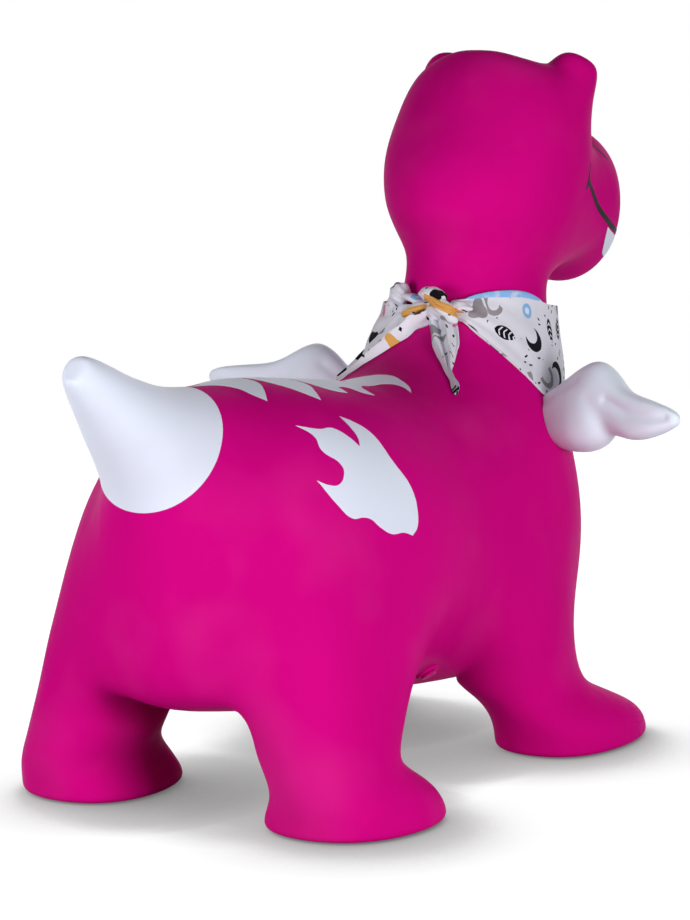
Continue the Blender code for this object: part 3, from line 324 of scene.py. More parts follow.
LEG_STATIONS = {
    "rear": ("hip_rear", "hip", "hip_front"),
    "front": ("shoulder_rear", "shoulder", "chest"),
}

# Neck and head rings. Each row: back y, back z, front y, front z, half width.
# y is measured forwards from NECK_Y as a share of HEAD_LENGTH, z is measured up from
# SEAT_HEIGHT as a share of HEAD_RISE, half width is a share of half HEAD_WIDTH.
HEAD_SHARES = {
    "neck_base": (-0.352, 0.208, 0.308, -0.087, 0.699),
    "neck": (-0.321, 0.317, 0.337, 0.12, 0.634),
    "neck_top": (-0.321, 0.399, 0.327, 0.255, 0.588),
    "jaw": (-0.405, 0.468, 0.524, 0.305, 0.713),
    "cheek": (-0.453, 0.542, 0.621, 0.48, 0.854),
    "eye_level": (-0.417, 0.658, 0.604, 0.688, 0.898),
    "brow": (-0.296, 0.784, 0.581, 0.829, 0.876),
    "crown_edge": (-0.152, 0.957, 0.455, 0.929, 0.725),
    "crown": (-0.021, 1.032, 0.286, 0.935, 0.417),
}

# Eye bump: side, forwards and up to its middle, radius, height.
# Side and radius are shares of half HEAD_WIDTH, forwards of HEAD_LENGTH, up and height of the head's rise.
EYE_BUMP_SHARES = (0.63, 0.285, 0.93, 0.235, 0.067)
EYE_BUMP_LEAN = (0.25, -0.45, 0.86)

# Leg rings below the belly. Each row: height, centre x, centre y, half width, half length, squareness,
# and how far the toe side turns outwards. Heights are shares of FOOT_HEIGHT, the rest of half
# ANKLE_WIDTH, measured from the ankle's centre.
LEG_SHARES = {
    "rear": (
        (1.2, -0.153, -0.095, 0.961, 1.047, 1, 0),
        (0.88, -0.027, -0.062, 0.9, 1.049, 1, 0),
        (0.55, 0.145, -0.33, 0.95, 1.27, 1.04, 0.06),
        (0.18, 0.09, -0.48, 1.08, 1.31, 1.08, 0.08),
    ),
    "front": (
        (1.2, -0.455, 0.3, 0.85, 1.12, 1, 0),
        (0.88, -0.162, -0.01, 0.868, 1.13, 1, 0),
        (0.55, 0.113, -0.454, 0.96, 1.428, 1.087, 0),
        (0.18, 0.122, -0.617, 0.969, 1.463, 1.11, 0),
    ),
}

# Snout rings. Each row: reach, half width, lower edge, upper edge, lower and upper fullness.
# Reach is a share of SNOUT_REACH forwards from NECK_Y, half width of half SNOUT_WIDTH,
# edges of the head's rise above SEAT_HEIGHT.
SNOUT_SHARES = (
    (0.745, 1.085, 0.287, 0.8, 1.006, 1.1), (0.965, 0.91, 0.189, 0.785, 1.028, 1.2),
    (1.012, 0.652, 0.336, 0.7, 1.005, 1.15),
)

# Axes, counts and small distances. TOOTH_LIFT counts FILM_GAP.
X_AXIS, Y_AXIS, Z_AXIS = Vector((1, 0, 0)), Vector((0, 1, 0)), Vector((0, 0, 1))
SIDES = (("left", 1), ("right", -1))
ORIGIN_SHIFT = 0.0323
CLEARANCE = 0.0003
HALF_POINTS = 7
SKIN_LEVELS = 3
WING_LEVELS = 4
OUTLINE_STEPS = 10
ROUND_STEPS = 72
EYE_POINTS = 10
MERGE_DISTANCE = 0.00001
SOLE_SIZES = (0.99, 0.70)
BUMP_SHOULDER_SHARE = 0.8
BUMP_CROWN_SHARE = 1.2
LEG_ANGLES = (45, 0, -45, -90, -135, 180, 135, 90)
SHARP_ANGLE = 40
FILM_GAP = 0.00012
FILM_THICKNESS = 0.00018
FILM_MARGIN = 0.008
TOOTH_LIFT = 2
UNEVEN_HEIGHT = 0.00035
# Waves of the skin's unevenness: along x, y and z per torso length, and their start.
UNEVEN_WAVES = ((5, 0, 3, 0), (0, 4, -2, 1), (0, 3, 7, 0), (2, 6, 0, 0))

# Creases pressed into each wing grip: points outwards and up as shares of WING_SPAN,
# then depth and half width as shares of WING_SPAN.
WING_CREASE_SHARES = (
    (((0.26, 0.36), (0.34, 0.26), (0.42, 0.13)), 0.012, 0.055),
    (((0.4, 0.38), (0.6, 0.31), (0.8, 0.29), (0.92, 0.31)), 0.014, 0.036),
    (((-0.3, 0.22), (-0.1, 0.4), (0.08, 0.5)), 0.015, 0.045),
)

# Colours, linear
MAGENTA = (0.6, 0.002, 0.205)
PAINT_WHITE = (0.72, 0.76, 0.885)
WING_WHITE = (0.8, 0.87, 0.99)
BLACK = (0.012, 0.011, 0.014)
COTTON = (0.75, 0.75, 0.83)
INK = (0.007, 0.006, 0.01)
GREY_INK = (0.3, 0.28, 0.3)
RED_INK = (0.62, 0.02, 0.05)
OCHRE_INK = (0.7, 0.36, 0.1)
BLUE_INK = (0.22, 0.46, 0.8)
PINK_INK = (0.75, 0.25, 0.38)

# Plastics: name, colour, deeper colour, roughness, specular, and how far the deeper colour clouds it.
VINYLS = (
    ("magenta_vinyl", MAGENTA, (0.47, 0.001, 0.165), 0.40, 0.004, 0.35),
    ("white_vinyl", WING_WHITE, (0.72, 0.783, 0.891), 0.42, 0.12, 0.30),
    ("plug_vinyl", MAGENTA, (0.47, 0.001, 0.165), 0.35, 0.05, 0.30),
)
# Paints by slot: name, colour, worn colour, roughness and specular.
PAINTS = {
    "paint_white": ("white_paint", PAINT_WHITE, (0.6696, 0.7068, 0.82305), 0.42, 0.10),
    "paint_black": ("black_paint", BLACK, (0.03, 0.02, 0.028), 0.42, 0.03),
}
COTTON_ROUGHNESS = 0.88
COTTON_SPECULAR = 0.02
SHEEN_WEIGHT = 0.04
SHEEN_ROUGHNESS = 0.6

# Patches: noise scale and detail, then the noise values where a patch starts and where it is full.
CLOUDS = (7, 3, 0.42, 0.72)
# The next row gives patches of painted highlight: soft pale sheen laid into the vinyl's colour.
PAINTED_SHEEN = (11, 2, 0.50, 0.74)
SCUFFS = (38, 5, 0.60, 0.80)
THIN_PLACES = (55, 4, 0.58, 0.80)
SOILING = (60, 3, 0.45, 0.75)
FADING = (90, 3, 0.50, 0.62)
# How much lighter the painted highlight patches are.
PAINTED_SHEEN_LIGHT = 0.009
SCUFF_LIGHT = 1.12
SCUFF_AMOUNT = 0.25
THIN_AMOUNT = 0.22
SOILED_SHADE = 0.86
SOILING_AMOUNT = 0.5
FADING_AMOUNT = 0.55
# Relief: noise scale, detail and depth. Gloss: noise scale, detail and spread of the roughness.
RIPPLES = (24, 2, 0.0016)
GRAIN = (1400, 2, 0.00006)
ORANGE_PEEL = (420, 2, 0.00008)
VINYL_GLOSS = (30, 3, 0.16)
PAINT_GLOSS = (60, 2, 0.14)
# The two colours among a Mix node's inputs, and the mixed colour among its outputs.
MIX_COLOUR_ENTRIES = (6, 7)
MIX_COLOUR_OUTPUT = 2

# Cloth details
WEAVE_PITCH = 0.0007
WEAVE_STRENGTH = 0.5
# The gaps between threads get painted shade: this share of the cotton's colour, where the threads dip, by
# the amount below.
WEAVE_SHADE = 0.72
WEAVE_GAPS = (0.2, 1)
WEAVE_AMOUNT = 0.20
STITCH_PITCH = 0.003
STITCH_START = -0.2
STITCH_SHADE = 0.9

# The print. Its shapes are in units of MOTIF_SIZE, the dashes' own sizes in units of DASH_SIZE.
MOTIF_SIZE = 0.028
MOTIF_SCATTER = 0.55
MOTIF_WOBBLE = 0.0010
EDGE_WOBBLE = (620, 2)
# Distance of the leaf's two rounds from its middle and their radius; its veins' two pitches, the wave's
# least value and how far they reach.
LEAF = (0.28, 0.45)
LEAF_VEINS = (40, 26, 0.62, 0.12)
# Pitch and least value of the bars, half width and half height.
BARS = (27, -0.25, 0.20, 0.34)
# Radius, then the shift and radius of the round that is cut off.
MOON = (0.33, 0.15, 0.06, 0.24)
# Radius, half width and lower end.
ARC = (0.28, 0.070, -0.08)
# Count of waves round the edge, their height and the radius, then the ring's radius and half width.
PETALS = (5, 0.08, 0.20)
PEBBLE = (3, 0.06, 0.27)
RING = (0.15, 0.055)
# Each row: shape, the share of places up to which it is printed, and ink.
PRINT = (
    ("leaf", 0.20, INK), ("bars", 0.35, INK), ("arc", 0.48, GREY_INK), ("moon", 0.61, INK),
    ("petals", 0.71, RED_INK), ("pebble", 0.76, INK), ("pebble", 0.82, GREY_INK),
    ("pebble", 0.91, OCHRE_INK), ("ring", 0.96, BLUE_INK), ("petals", 1.01, PINK_INK),
)
# Dashes: half length, half width and how far they stay from a shape's middle, in groups that lie
# where a noise of this scale and detail is above a value.
DASH_SIZE = 0.0082
DASH_SCATTER = 0.8
DASH = (0.19, 0.080, 0.40)
DASH_GROUPS = (26, 1, 0.50)

# Camera and light
CAMERA_PLACE = (-1.1656, 1.8478, 0.5046)
CAMERA_AZIMUTH = 212.3108
CAMERA_PITCH = 7.3033
CAMERA_LENS = 117.39
SENSOR = 36
AMBIENT = 0.12
FLOOR_COLOUR = (0.46, 0.46, 0.47)
FLOOR_SEEN_COLOUR = (0.1, 0.1, 0.1)
# The floor's soft shadow round the feet is painted: ambient occlusion, leaned sideways and stepped, darkens
# its glow.
FLOOR_SHADE_REACH = 0.097
FLOOR_SHADE_TILT = (0.48, -0.02)
FLOOR_SHADE_STEPS = ((0, 0.1), (0.33, 0.3), (0.74, 0.54), (0.86, 0.84), (1, 1))
FLOOR_RADIUS = 6
# Each lamp: name, azimuth, elevation, distance, side and watts.
LAMPS = (
    ("key", 168, 2, 1.6, 0.6, 14.8),
    ("fill", 252, 2, 1.6, 0.6, 16.8),
    ("top", 212, 36, 1.8, 1, 2),
    ("front", 20, 18, 2.2, 1.4, 30),
)


def ring_growth(count):
    """How much larger a cage ring of this many points is than the round that it subdivides to."""
    return 6 / (4 + 2 * cos(tau / count))


def torso_place(x_share, y_share, z_share):
    """A point given as shares of the torso's half width, length and seat height."""
    return Vector((x_share * TORSO_WIDTH / 2, y_share * TORSO_LENGTH, z_share * SEAT_HEIGHT))


def head_place(x_share, y_share, z_share, length=SNOUT_REACH):
    """A point given as shares of the head's half width, a length forwards and the head's rise."""
    return Vector((x_share * HEAD_WIDTH / 2, NECK_Y - y_share * length, SEAT_HEIGHT + z_share * HEAD_RISE))


def rotated(first, second, degrees):
    """Two axes, or the two parts of a flat place, turned together by this angle."""
    cosine, sine = cos(radians(degrees)), sin(radians(degrees))
    return first * cosine + second * sine, second * cosine - first * sine


def half_ring(top, bottom, half_width, upper=1, lower=1):
    """Points of one body ring at x >= 0, from the top of the section to its bottom."""
    grow = ring_growth(2 * (HALF_POINTS - 1))
    points = []
    for step in range(HALF_POINTS):
        angle = pi * step / (HALF_POINTS - 1)
        turn = cos(angle)
        fullness = 1 + ((upper if turn > 0 else lower) - 1) * turn * turn
        point = (top + bottom) / 2 + (top - bottom) / 2 * turn
        point.x = half_width * sin(angle) * grow * fullness
        points.append(point)
    points[0].x = points[-1].x = 0
    return points


def body_rings():
    """The rings from the tail's tip to the crown, by name."""
    rings = {}
    for name, (top_y, top_z, low_y, low_z, width, lower) in TORSO_SHARES.items():
        top, low = torso_place(0, top_y, top_z), torso_place(0, low_y, low_z)
        rings[name] = half_ring(top, low, width * TORSO_WIDTH / 2, lower=lower)
    for name, (back_y, back_z, front_y, front_z, width) in HEAD_SHARES.items():
        behind = head_place(0, back_y, back_z, HEAD_LENGTH)
        ahead = head_place(0, front_y, front_z, HEAD_LENGTH)
        rings[name] = half_ring(behind, ahead, width * HEAD_WIDTH / 2)
    return rings


def leg_rings(leg, ankle_y):
    """Closed rings of one left leg from just under the belly to the sole, eight points each."""
    unit = ANKLE_WIDTH / 2
    rows = list(LEG_SHARES[leg])
    _, x, y, wide, long, square, splay = rows[-1]
    rows += [(0, x, y, wide * size, long * size, square, splay) for size in SOLE_SIZES]
    rings = []
    for height, x, y, wide, long, square, splay in rows:
        ring = []
        for degrees in LEG_ANGLES:
            angle = radians(degrees)
            reach = unit * ring_growth(len(LEG_ANGLES)) * (square if degrees % 90 else 1)
            behind = long * reach * sin(angle)
            side = TRACK / 2 + x * unit + wide * reach * cos(angle) - splay * behind
            ring.append((side, ankle_y + y * unit + behind, height * FOOT_HEIGHT))
        rings.append(ring)
    return rings


def add_row(mesh, points):
    return [mesh.verts.new(point) for point in points]


def extend(mesh, edge, rings, closed=True):
    """Carries an edge of the cage on through rings of points, and returns the last of them."""
    for points in rings:
        ring = add_row(mesh, points)
        for i in range(len(ring) if closed else len(ring) - 1):
            j = (i + 1) % len(ring)
            mesh.faces.new((edge[i], edge[j], ring[j], ring[i]))
        edge = ring
    return edge


def cap_half(mesh, row):
    """Closes a half ring of seven points with four quads and three points on the middle plane."""
    a, b, c = add_row(mesh, [row[0].co.lerp(row[-1].co, part / 4) for part in (1, 2, 3)])
    for corners in (row[:3] + [a], [a, *row[2:4], b], [b, *row[3:5], c], [c] + row[4:]):
        mesh.faces.new(corners)


def recalculate(mesh):
    bmesh.ops.recalc_face_normals(mesh, faces=mesh.faces)
    return mesh


def body_cage():
    """The left half of the whole skin as a coarse cage of quads."""
    mesh = bmesh.new()
    rows = {name: add_row(mesh, points) for name, points in body_rings().items()}
    gaps = {"jaw": (4, 5), "cheek": (4, 5), "brow": (3, 4), "crown_edge": (3, 4)}
    for near, mid, _ in LEG_STATIONS.values():
        gaps[near] = gaps[mid] = (3, 4)
    for name, first, second in zip(rows, rows.values(), list(rows.values())[1:]):
        for i in range(HALF_POINTS - 1):
            if i not in gaps.get(name, ()):
                mesh.faces.new((first[i], first[i + 1], second[i + 1], second[i]))
    cap_half(mesh, rows["tail_tip"])
    cap_half(mesh, rows["crown"])
    for leg, ankle_y in (("rear", REAR_ANKLE_Y), ("front", FRONT_ANKLE_Y)):
        near, mid, far = (rows[name] for name in LEG_STATIONS[leg])
        mesh.verts.remove(mid[4])
        edge = [near[3], mid[3], far[3], far[4], far[5], mid[5], near[5], near[4]]
        mesh.faces.new(extend(mesh, edge, leg_rings(leg, ankle_y)))
    add_snout(mesh, rows)
    add_eye_bump(mesh, rows)
    return recalculate(mesh)


def add_snout(mesh, rows):
    """Draws the snout out of the lower front of the head."""
    jaw, cheek, eye = rows["jaw"], rows["cheek"], rows["eye_level"]
    mesh.verts.remove(cheek[6])
    mesh.verts.remove(cheek[5])
    edge = [jaw[6], jaw[5], jaw[4], cheek[4], eye[4], eye[5], eye[6]]
    rings = []
    for reach, width, low, high, under, over in SNOUT_SHARES:
        ends = head_place(0, reach, low), head_place(0, reach, high)
        rings.append(half_ring(*ends, width * SNOUT_WIDTH / 2, under, over))
    cap_half(mesh, extend(mesh, edge, rings, closed=False))


def add_eye_bump(mesh, rows):
    """Raises one rounded bump from the upper front of the head."""
    brow, rim, crown = rows["brow"], rows["crown_edge"], rows["crown"]
    mesh.verts.remove(rim[4])
    edge = [brow[3], rim[3], crown[3], crown[4], crown[5], rim[5], brow[5], brow[4]]
    side, forward, up, radius, height = EYE_BUMP_SHARES
    middle = head_place(side, forward, up, HEAD_LENGTH)
    lean = Vector(EYE_BUMP_LEAN).normalized()
    lift = lean * height * HEAD_RISE
    inward = crown[4].co - brow[4].co
    inward = (inward - lean * inward.dot(lean)).normalized()
    ahead = lean.cross(inward)
    if ahead.dot(rim[5].co - rim[3].co) < 0:
        ahead = -ahead
    turns = ((-1, -1), (0, -1), (1, -1), (1, 0), (1, 1), (0, 1), (-1, 1), (-1, 0))
    reach = radius * HEAD_WIDTH / 2 * ring_growth(len(turns))
    aims = [(inward * a + ahead * b).normalized() * reach for a, b in turns]
    low_ring = [middle + aim for aim in aims]
    high_ring = [middle + aim * BUMP_SHOULDER_SHARE + lift for aim in aims]
    edge = extend(mesh, edge, (low_ring, high_ring))
    top = mesh.verts.new(middle + lift * BUMP_CROWN_SHARE)
    for i in range(0, len(turns), 2):
        mesh.faces.new((edge[i - 1], edge[i], edge[i + 1], top))


def wing_axes(side):
    """A wing grip's root and its three axes: outwards, up and across."""
    out, back = rotated(X_AXIS, Y_AXIS, WING_SWEEP)
    _, up = rotated(back, Z_AXIS, WING_LEAN)
    out, up = rotated(out, up, WING_RISE_LEFT if side > 0 else WING_RISE_RIGHT)
    root = torso_place(*WING_ROOT_SHARES)
    root.x += WING_SHIFT_LEFT if side > 0 else 0
    return [Vector((v.x * side, v.y, v.z)) for v in (root, out, up, out.cross(up))]


def wing_cage(root, out, up, across):
    """One wing grip as a coarse cage, from its root and axes."""
    mesh = bmesh.new()
    growth = ring_growth(len(WING_TURN_SHARES))
    rings = []
    for top_out, top_up, low_out, low_up, upper, middle, lower in WING_SHARES:
        high, low = out * top_out + up * top_up, out * low_out + up * low_up
        centre, half = (high + low) / 2, (high - low) / 2
        depths = (0, upper, middle, lower, 0, -lower, -middle, -upper)
        ring = [(half * turn + across * depth) * growth for turn, depth in zip(WING_TURN_SHARES, depths)]
        rings.append([root + (centre + away) * WING_SPAN for away in ring])
    first = add_row(mesh, rings[0])
    mesh.faces.new(first)
    mesh.faces.new(extend(mesh, first, rings[1:]))
    return recalculate(mesh)


def neck_direction(turn):
    return rotated(X_AXIS, Y_AXIS, turn)[1]


def on_neck(tree, turn, height, lift):
    """The point this far off the skin at a turn from the nape, about the upright line at NECK_Y."""
    line = Vector((0, NECK_Y, height))
    aim = neck_direction(turn)
    return tree.ray_cast(line + aim * TORSO_LENGTH, -aim)[0] + aim * lift


def axes(x_axis, y_axis, z_axis, place=(0, 0, 0)):
    """A frame from its three axes."""
    turn = Matrix((x_axis, y_axis, z_axis)).transposed().to_4x4()
    turn.translation = place
    return turn


def scaled(shares, x_size, y_size, x=0, y=0):
    """An outline about this place, from its shares of two sizes."""
    return [(x + aside * x_size, y + up * y_size, corner) for aside, up, corner in shares]


class Number:
    """A number in a node tree; sums, products and comparisons add Math nodes."""

    def __init__(self, nodes, socket):
        self.nodes = nodes
        self.socket = socket

    def math(self, operation, *others):
        return Number(self.nodes, self.nodes.new("Math", self, *others, operation=operation).outputs[0])

    __add__ = partialmethod(math, "ADD")
    __sub__ = partialmethod(math, "SUBTRACT")
    __mul__ = partialmethod(math, "MULTIPLY")
    __lt__ = partialmethod(math, "LESS_THAN")
    __gt__ = partialmethod(math, "GREATER_THAN")
    size = partialmethod(math, "ABSOLUTE")

    def between(self, low, high):
        return (self > low) * (self < high)


def distance(x, y):
    return (x * x + y * y).math("SQRT")


def stretch(value, low, high):
    """Runs from 0 at low to 1 at high, and stays within them."""
    return ((value - low) * (1 / (high - low))).math("MAXIMUM", 0).math("MINIMUM", 1)


class Nodes:
    """A node tree with the few kinds of node that the looks here use."""

    def __init__(self, tree):
        self.tree = tree

    def new(self, kind, *values, **settings):
        """A new node: values fill its inputs in order, settings are its properties or inputs by name."""
        node = self.tree.nodes.new("ShaderNode" + kind)
        for key, value in settings.items():
            if key in node.inputs:
                self.fill(node.inputs[key], value)
            else:
                setattr(node, key, value)
        for entry, value in zip(node.inputs, values):
            self.fill(entry, value)
        return node

    def fill(self, entry, value):
        """Links a Number or an output to this input, or sets its value."""
        if isinstance(value, Number):
            value = value.socket
        if isinstance(value, bpy.types.NodeSocket):
            self.tree.links.new(value, entry)
        else:
            entry.default_value = value

    def numbers(self, kind, source):
        """The first two parts of a vector or a colour."""
        return [Number(self, output) for output in self.new(kind, source).outputs[:2]]

    def background_rays(self):
        """1 for camera, glossy and transmission rays, which see the pale background, else 0."""
        path = self.new("LightPath")
        camera_ray, glossy_ray, clear_ray = (
            Number(self, path.outputs[f"Is {kind} Ray"]) for kind in ("Camera", "Glossy", "Transmission")
        )
        return camera_ray.math("MAXIMUM", glossy_ray).math("MAXIMUM", clear_ray)


class Finish(Nodes):
    """A material built up from a base in layers of colour and relief."""

    def __init__(self, name, base, roughness, specular):
        self.material = bpy.data.materials.new(name)
        self.material.use_nodes = True
        super().__init__(self.material.node_tree)
        self.shader = self.tree.nodes["Principled BSDF"]
        self.shader.inputs["Roughness"].default_value = roughness
        self.shader.inputs["Specular IOR Level"].default_value = specular
        self.material.diffuse_color = (*base, 1)
        self.base = self.new("RGB").outputs[0]
        self.base.default_value = (*base, 1)
        self.bump = None

    def noise(self, scale, detail, coordinates="Object"):
        place = self.new("TexCoord").outputs[coordinates]
        return Number(self, self.new("TexNoise", Vector=place, Scale=scale, Detail=detail).outputs["Fac"])

    def patches(self, scale, detail, low, high):
        return stretch(self.noise(scale, detail), low, high)

    def blend(self, colour, amount):
        """Lays a colour over the base by this amount."""
        node = self.new("Mix", amount, data_type="RGBA")
        for entry, value in zip(MIX_COLOUR_ENTRIES, (self.base, (*colour, 1))):
            self.fill(node.inputs[entry], value)
        self.base = node.outputs[MIX_COLOUR_OUTPUT]

    def raise_by(self, height, depth, strength=1):
        node = self.new("Bump", Height=height, Distance=depth, Strength=strength)
        if self.bump:
            self.fill(node.inputs["Normal"], self.bump)
        self.bump = node.outputs["Normal"]

    def emboss(self, scale, detail, depth):
        self.raise_by(self.noise(scale, detail), depth)

    def vary_roughness(self, scale, detail, spread):
        entry = self.shader.inputs["Roughness"]
        self.fill(entry, self.noise(scale, detail) * spread + (entry.default_value - spread / 2))

    def done(self):
        self.fill(self.shader.inputs["Base Color"], self.base)
        self.fill(self.shader.inputs["Normal"], self.bump)
        return self.material


def tinted(colour, share, extra=0):
    return tuple(min(1, part * share + extra) for part in colour)


def vinyl(name, base, deep, roughness, specular, mottling):
    """Soft plastic skin: cloudy colour, soft pale patches of painted highlight, a fine matt grain and
    shallow ripples.
    """
    finish = Finish(name, base, roughness, specular)
    finish.blend(deep, finish.patches(*CLOUDS) * mottling)
    # Painted highlight: soft pale patches of sheen laid into the colour.
    finish.blend(tinted(base, 1, PAINTED_SHEEN_LIGHT), finish.patches(*PAINTED_SHEEN))
    finish.blend(tinted(base, SCUFF_LIGHT), finish.patches(*SCUFFS) * SCUFF_AMOUNT)
    finish.emboss(*RIPPLES)
    finish.emboss(*GRAIN)
    finish.vary_roughness(*VINYL_GLOSS)
    return finish.done()


def paint(name, base, worn, roughness, specular):
    """A painted area: an even coat with faint thin places and a slight orange peel."""
    finish = Finish(name, base, roughness, specular)
    finish.blend(worn, finish.patches(*THIN_PLACES) * THIN_AMOUNT)
    finish.emboss(*ORANGE_PEEL)
    finish.vary_roughness(*PAINT_GLOSS)
    return finish.done()


def weave(finish, x, y):
    """Threads crossing at WEAVE_PITCH, raised, with painted shade in the gaps between them."""
    turn = tau / WEAVE_PITCH
    threads = (x * turn).math("SINE") * (y * turn).math("SINE")
    finish.raise_by(threads, WEAVE_PITCH / 8, WEAVE_STRENGTH)
    finish.blend(tinted(COTTON, WEAVE_SHADE), stretch(threads * -1, *WEAVE_GAPS) * WEAVE_AMOUNT)


def cell(finish, x, y, size, randomness):
    """Scattered places: position from the nearest, turned at random, and a number of that place."""
    place = finish.new("CombineXYZ", x * (1 / size), y * (1 / size)).outputs[0]
    places = finish.new(
        "TexVoronoi", voronoi_dimensions="2D", Vector=place, Scale=1, Randomness=randomness
    )
    away = finish.new("VectorMath", place, places.outputs["Position"], operation="SUBTRACT")
    across, up = finish.numbers("SeparateXYZ", away.outputs[0])
    first, second = finish.numbers("SeparateColor", places.outputs["Color"])
    turn = first * tau
    cosine, sine = turn.math("COSINE"), turn.math("SINE")
    return across * cosine + up * sine, up * cosine - across * sine, second


def cotton_finish(name, base):
    """A cotton, and the flat cloth's x and y."""
    finish = Finish(name, base, COTTON_ROUGHNESS, COTTON_SPECULAR)
    finish.shader.inputs["Sheen Weight"].default_value = SHEEN_WEIGHT
    finish.shader.inputs["Sheen Roughness"].default_value = SHEEN_ROUGHNESS
    return finish, *finish.numbers("SeparateXYZ", finish.new("TexCoord").outputs["UV"])


def motifs(across, up):
    """The print's shapes by name, about a place's middle, as numbers that are 1 inside them."""
    reach = distance(across, up)
    turn = up.math("ARCTAN2", across)
    apart, radius = LEAF
    leaf = (distance(across, up - apart) < radius) * (distance(across, up + apart) < radius)
    slant, fork, least, rib = LEAF_VEINS
    veins = ((across * slant + up.size() * fork).math("SINE") > least) * (up.size() < rib)
    pitch, least, wide, tall = BARS
    bars = ((up * pitch).math("SINE") > least) * (across.size() < wide) * (up.size() < tall)
    radius, aside, above, bite = MOON
    moon = (reach < radius) * (distance(across - aside, up - above) > bite)
    radius, wide, low = ARC
    arc = ((reach - radius).size() < wide) * (up > low)
    count, wave, radius = PETALS
    petals = reach < (turn * count).math("COSINE") * wave + radius
    count, wave, radius = PEBBLE
    pebble = reach < (turn * count).math("SINE") * wave + radius
    radius, wide = RING
    ring = (reach - radius).size() < wide
    shapes = {"leaf": leaf - leaf * veins, "bars": bars, "arc": arc, "moon": moon}
    return {**shapes, "petals": petals, "pebble": pebble, "ring": ring}, reach


def printed_cotton():
    """White cotton printed with leaves, arcs, petals, moons, rings and dashes."""
    finish, x, y = cotton_finish("printed_cotton", COTTON)
    finish.blend(tinted(COTTON, SOILED_SHADE), finish.patches(*SOILING) * SOILING_AMOUNT)
    weave(finish, x, y)
    wobble = finish.noise(*EDGE_WOBBLE) * MOTIF_WOBBLE
    across, up, kind = cell(finish, x + wobble, y + wobble, MOTIF_SIZE, MOTIF_SCATTER)
    shapes, reach = motifs(across, up)
    low = 0
    for shape, high, ink in PRINT:
        finish.blend(ink, shapes[shape] * kind.between(low, high))
        low = high
    dash_x, dash_y, _ = cell(finish, x, y, DASH_SIZE, DASH_SCATTER)
    scale, detail, least = DASH_GROUPS
    long, wide, clear = DASH
    group = finish.noise(scale, detail, "UV") > least
    finish.blend(INK, (dash_x.size() < long) * (dash_y.size() < wide) * (reach > clear) * group)
    for left, high, tilt, long, wide in KNOT_BAND_SHARES:
        aside = x * (1 / KNOT_SIZE) - (KNOT_PRINT_SHIFT / KNOT_SIZE + left)
        above = y * (1 / KNOT_SIZE) - (KNOT_PRINT_SHIFT / KNOT_SIZE + high)
        along, off = rotated(aside, above, tilt)
        finish.blend(OCHRE_INK, (along.size() < long) * (off.size() < wide))
    return finish.done()


def blue_cotton():
    """Plain pale blue cotton with a row of stitches."""
    finish, x, y = cotton_finish("blue_cotton", BLUE_INK)
    finish.blend(COTTON, finish.patches(*FADING) * FADING_AMOUNT)
    row = (y - HEM_HEIGHT / 3).size() < HEM_HEIGHT / 16
    stitch = ((x * (tau / STITCH_PITCH)).math("SINE") > STITCH_START) * row
    finish.blend(tinted(COTTON, STITCH_SHADE), stitch)
    finish.raise_by(stitch, HEM_HEIGHT / 20)
    weave(finish, x, y)
    return finish.done()


def add_object(name, data):
    made = bpy.data.objects.new(name, data)
    bpy.context.scene.collection.objects.link(made)
    return made


def make_object(name, mesh):
    """An object from a bmesh, which is used up."""
    data = bpy.data.meshes.new(name)
    mesh.to_mesh(data)
    mesh.free()
    data.shade_smooth()
    return add_object(name, data)


def modify(made, kind, **settings):
    """Adds a modifier with these settings."""
    modifier = made.modifiers.new(kind.lower(), kind)
    for key, value in settings.items():
        setattr(modifier, key, value)


def boolean(made, other, operation):
    modify(made, "BOOLEAN", operation=operation, solver="MANIFOLD", object=other)


def settle(made):
    """Applies the object's modifiers."""
    bpy.context.view_layer.update()
    graph = bpy.context.evaluated_depsgraph_get()
    mesh = bpy.data.meshes.new_from_object(made.evaluated_get(graph), depsgraph=graph)
    made.modifiers.clear()
    made.data = mesh
    return made


def read_points(mesh, kind="co"):
    values = np.empty(len(mesh.vertices) * 3)
    mesh.vertices.foreach_get(kind, values)
    return values.reshape(-1, 3)


def push(mesh, amounts):
    """Moves each point along its normal by its amount."""
    moved = read_points(mesh) + read_points(mesh, "normal") * amounts[:, None]
    mesh.vertices.foreach_set("co", moved.ravel())
    mesh.update()


def place_piece(made, material, body, nodes):
    """Moves a finished piece to its place, gives it its material and ties it to the CAD model."""
    made.data.transform(Matrix.Translation((0, ORIGIN_SHIFT, 0)))
    made.data.shade_smooth()
    made.data.set_sharp_from_angle(angle=radians(SHARP_ANGLE))
    made.data.materials.clear()
    made.data.materials.append(material)
    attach(made, body)
    if nodes:
        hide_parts(*nodes)
    return made


def outline_prism(outline, near, far, frame):
    """A block with this outline in the frame's XY plane, from near to far along the frame's Z axis."""
    curve = bpy.data.curves.new("outline", "CURVE")
    curve.dimensions = "2D"
    curve.fill_mode = "BOTH"
    curve.extrude = (far - near) / 2
    spline = curve.splines.new("BEZIER")
    spline.use_cyclic_u = True
    spline.resolution_u = OUTLINE_STEPS
    spline.bezier_points.add(len(outline) - 1)
    for point, (x, y, corner) in zip(spline.bezier_points, outline):
        point.co = (x, y, 0)
        point.handle_left_type = point.handle_right_type = "VECTOR" if corner else "AUTO"
    drawn = add_object("outline", curve)
    mesh = bmesh.new()
    mesh.from_mesh(drawn.evaluated_get(bpy.context.evaluated_depsgraph_get()).to_mesh())
    bpy.data.objects.remove(drawn)
    bmesh.ops.remove_doubles(mesh, verts=mesh.verts, dist=MERGE_DISTANCE)
    place = frame @ Matrix.Translation((0, 0, (near + far) / 2))
    bmesh.ops.transform(mesh, matrix=place, verts=mesh.verts)
    return make_object("prism", recalculate(mesh))


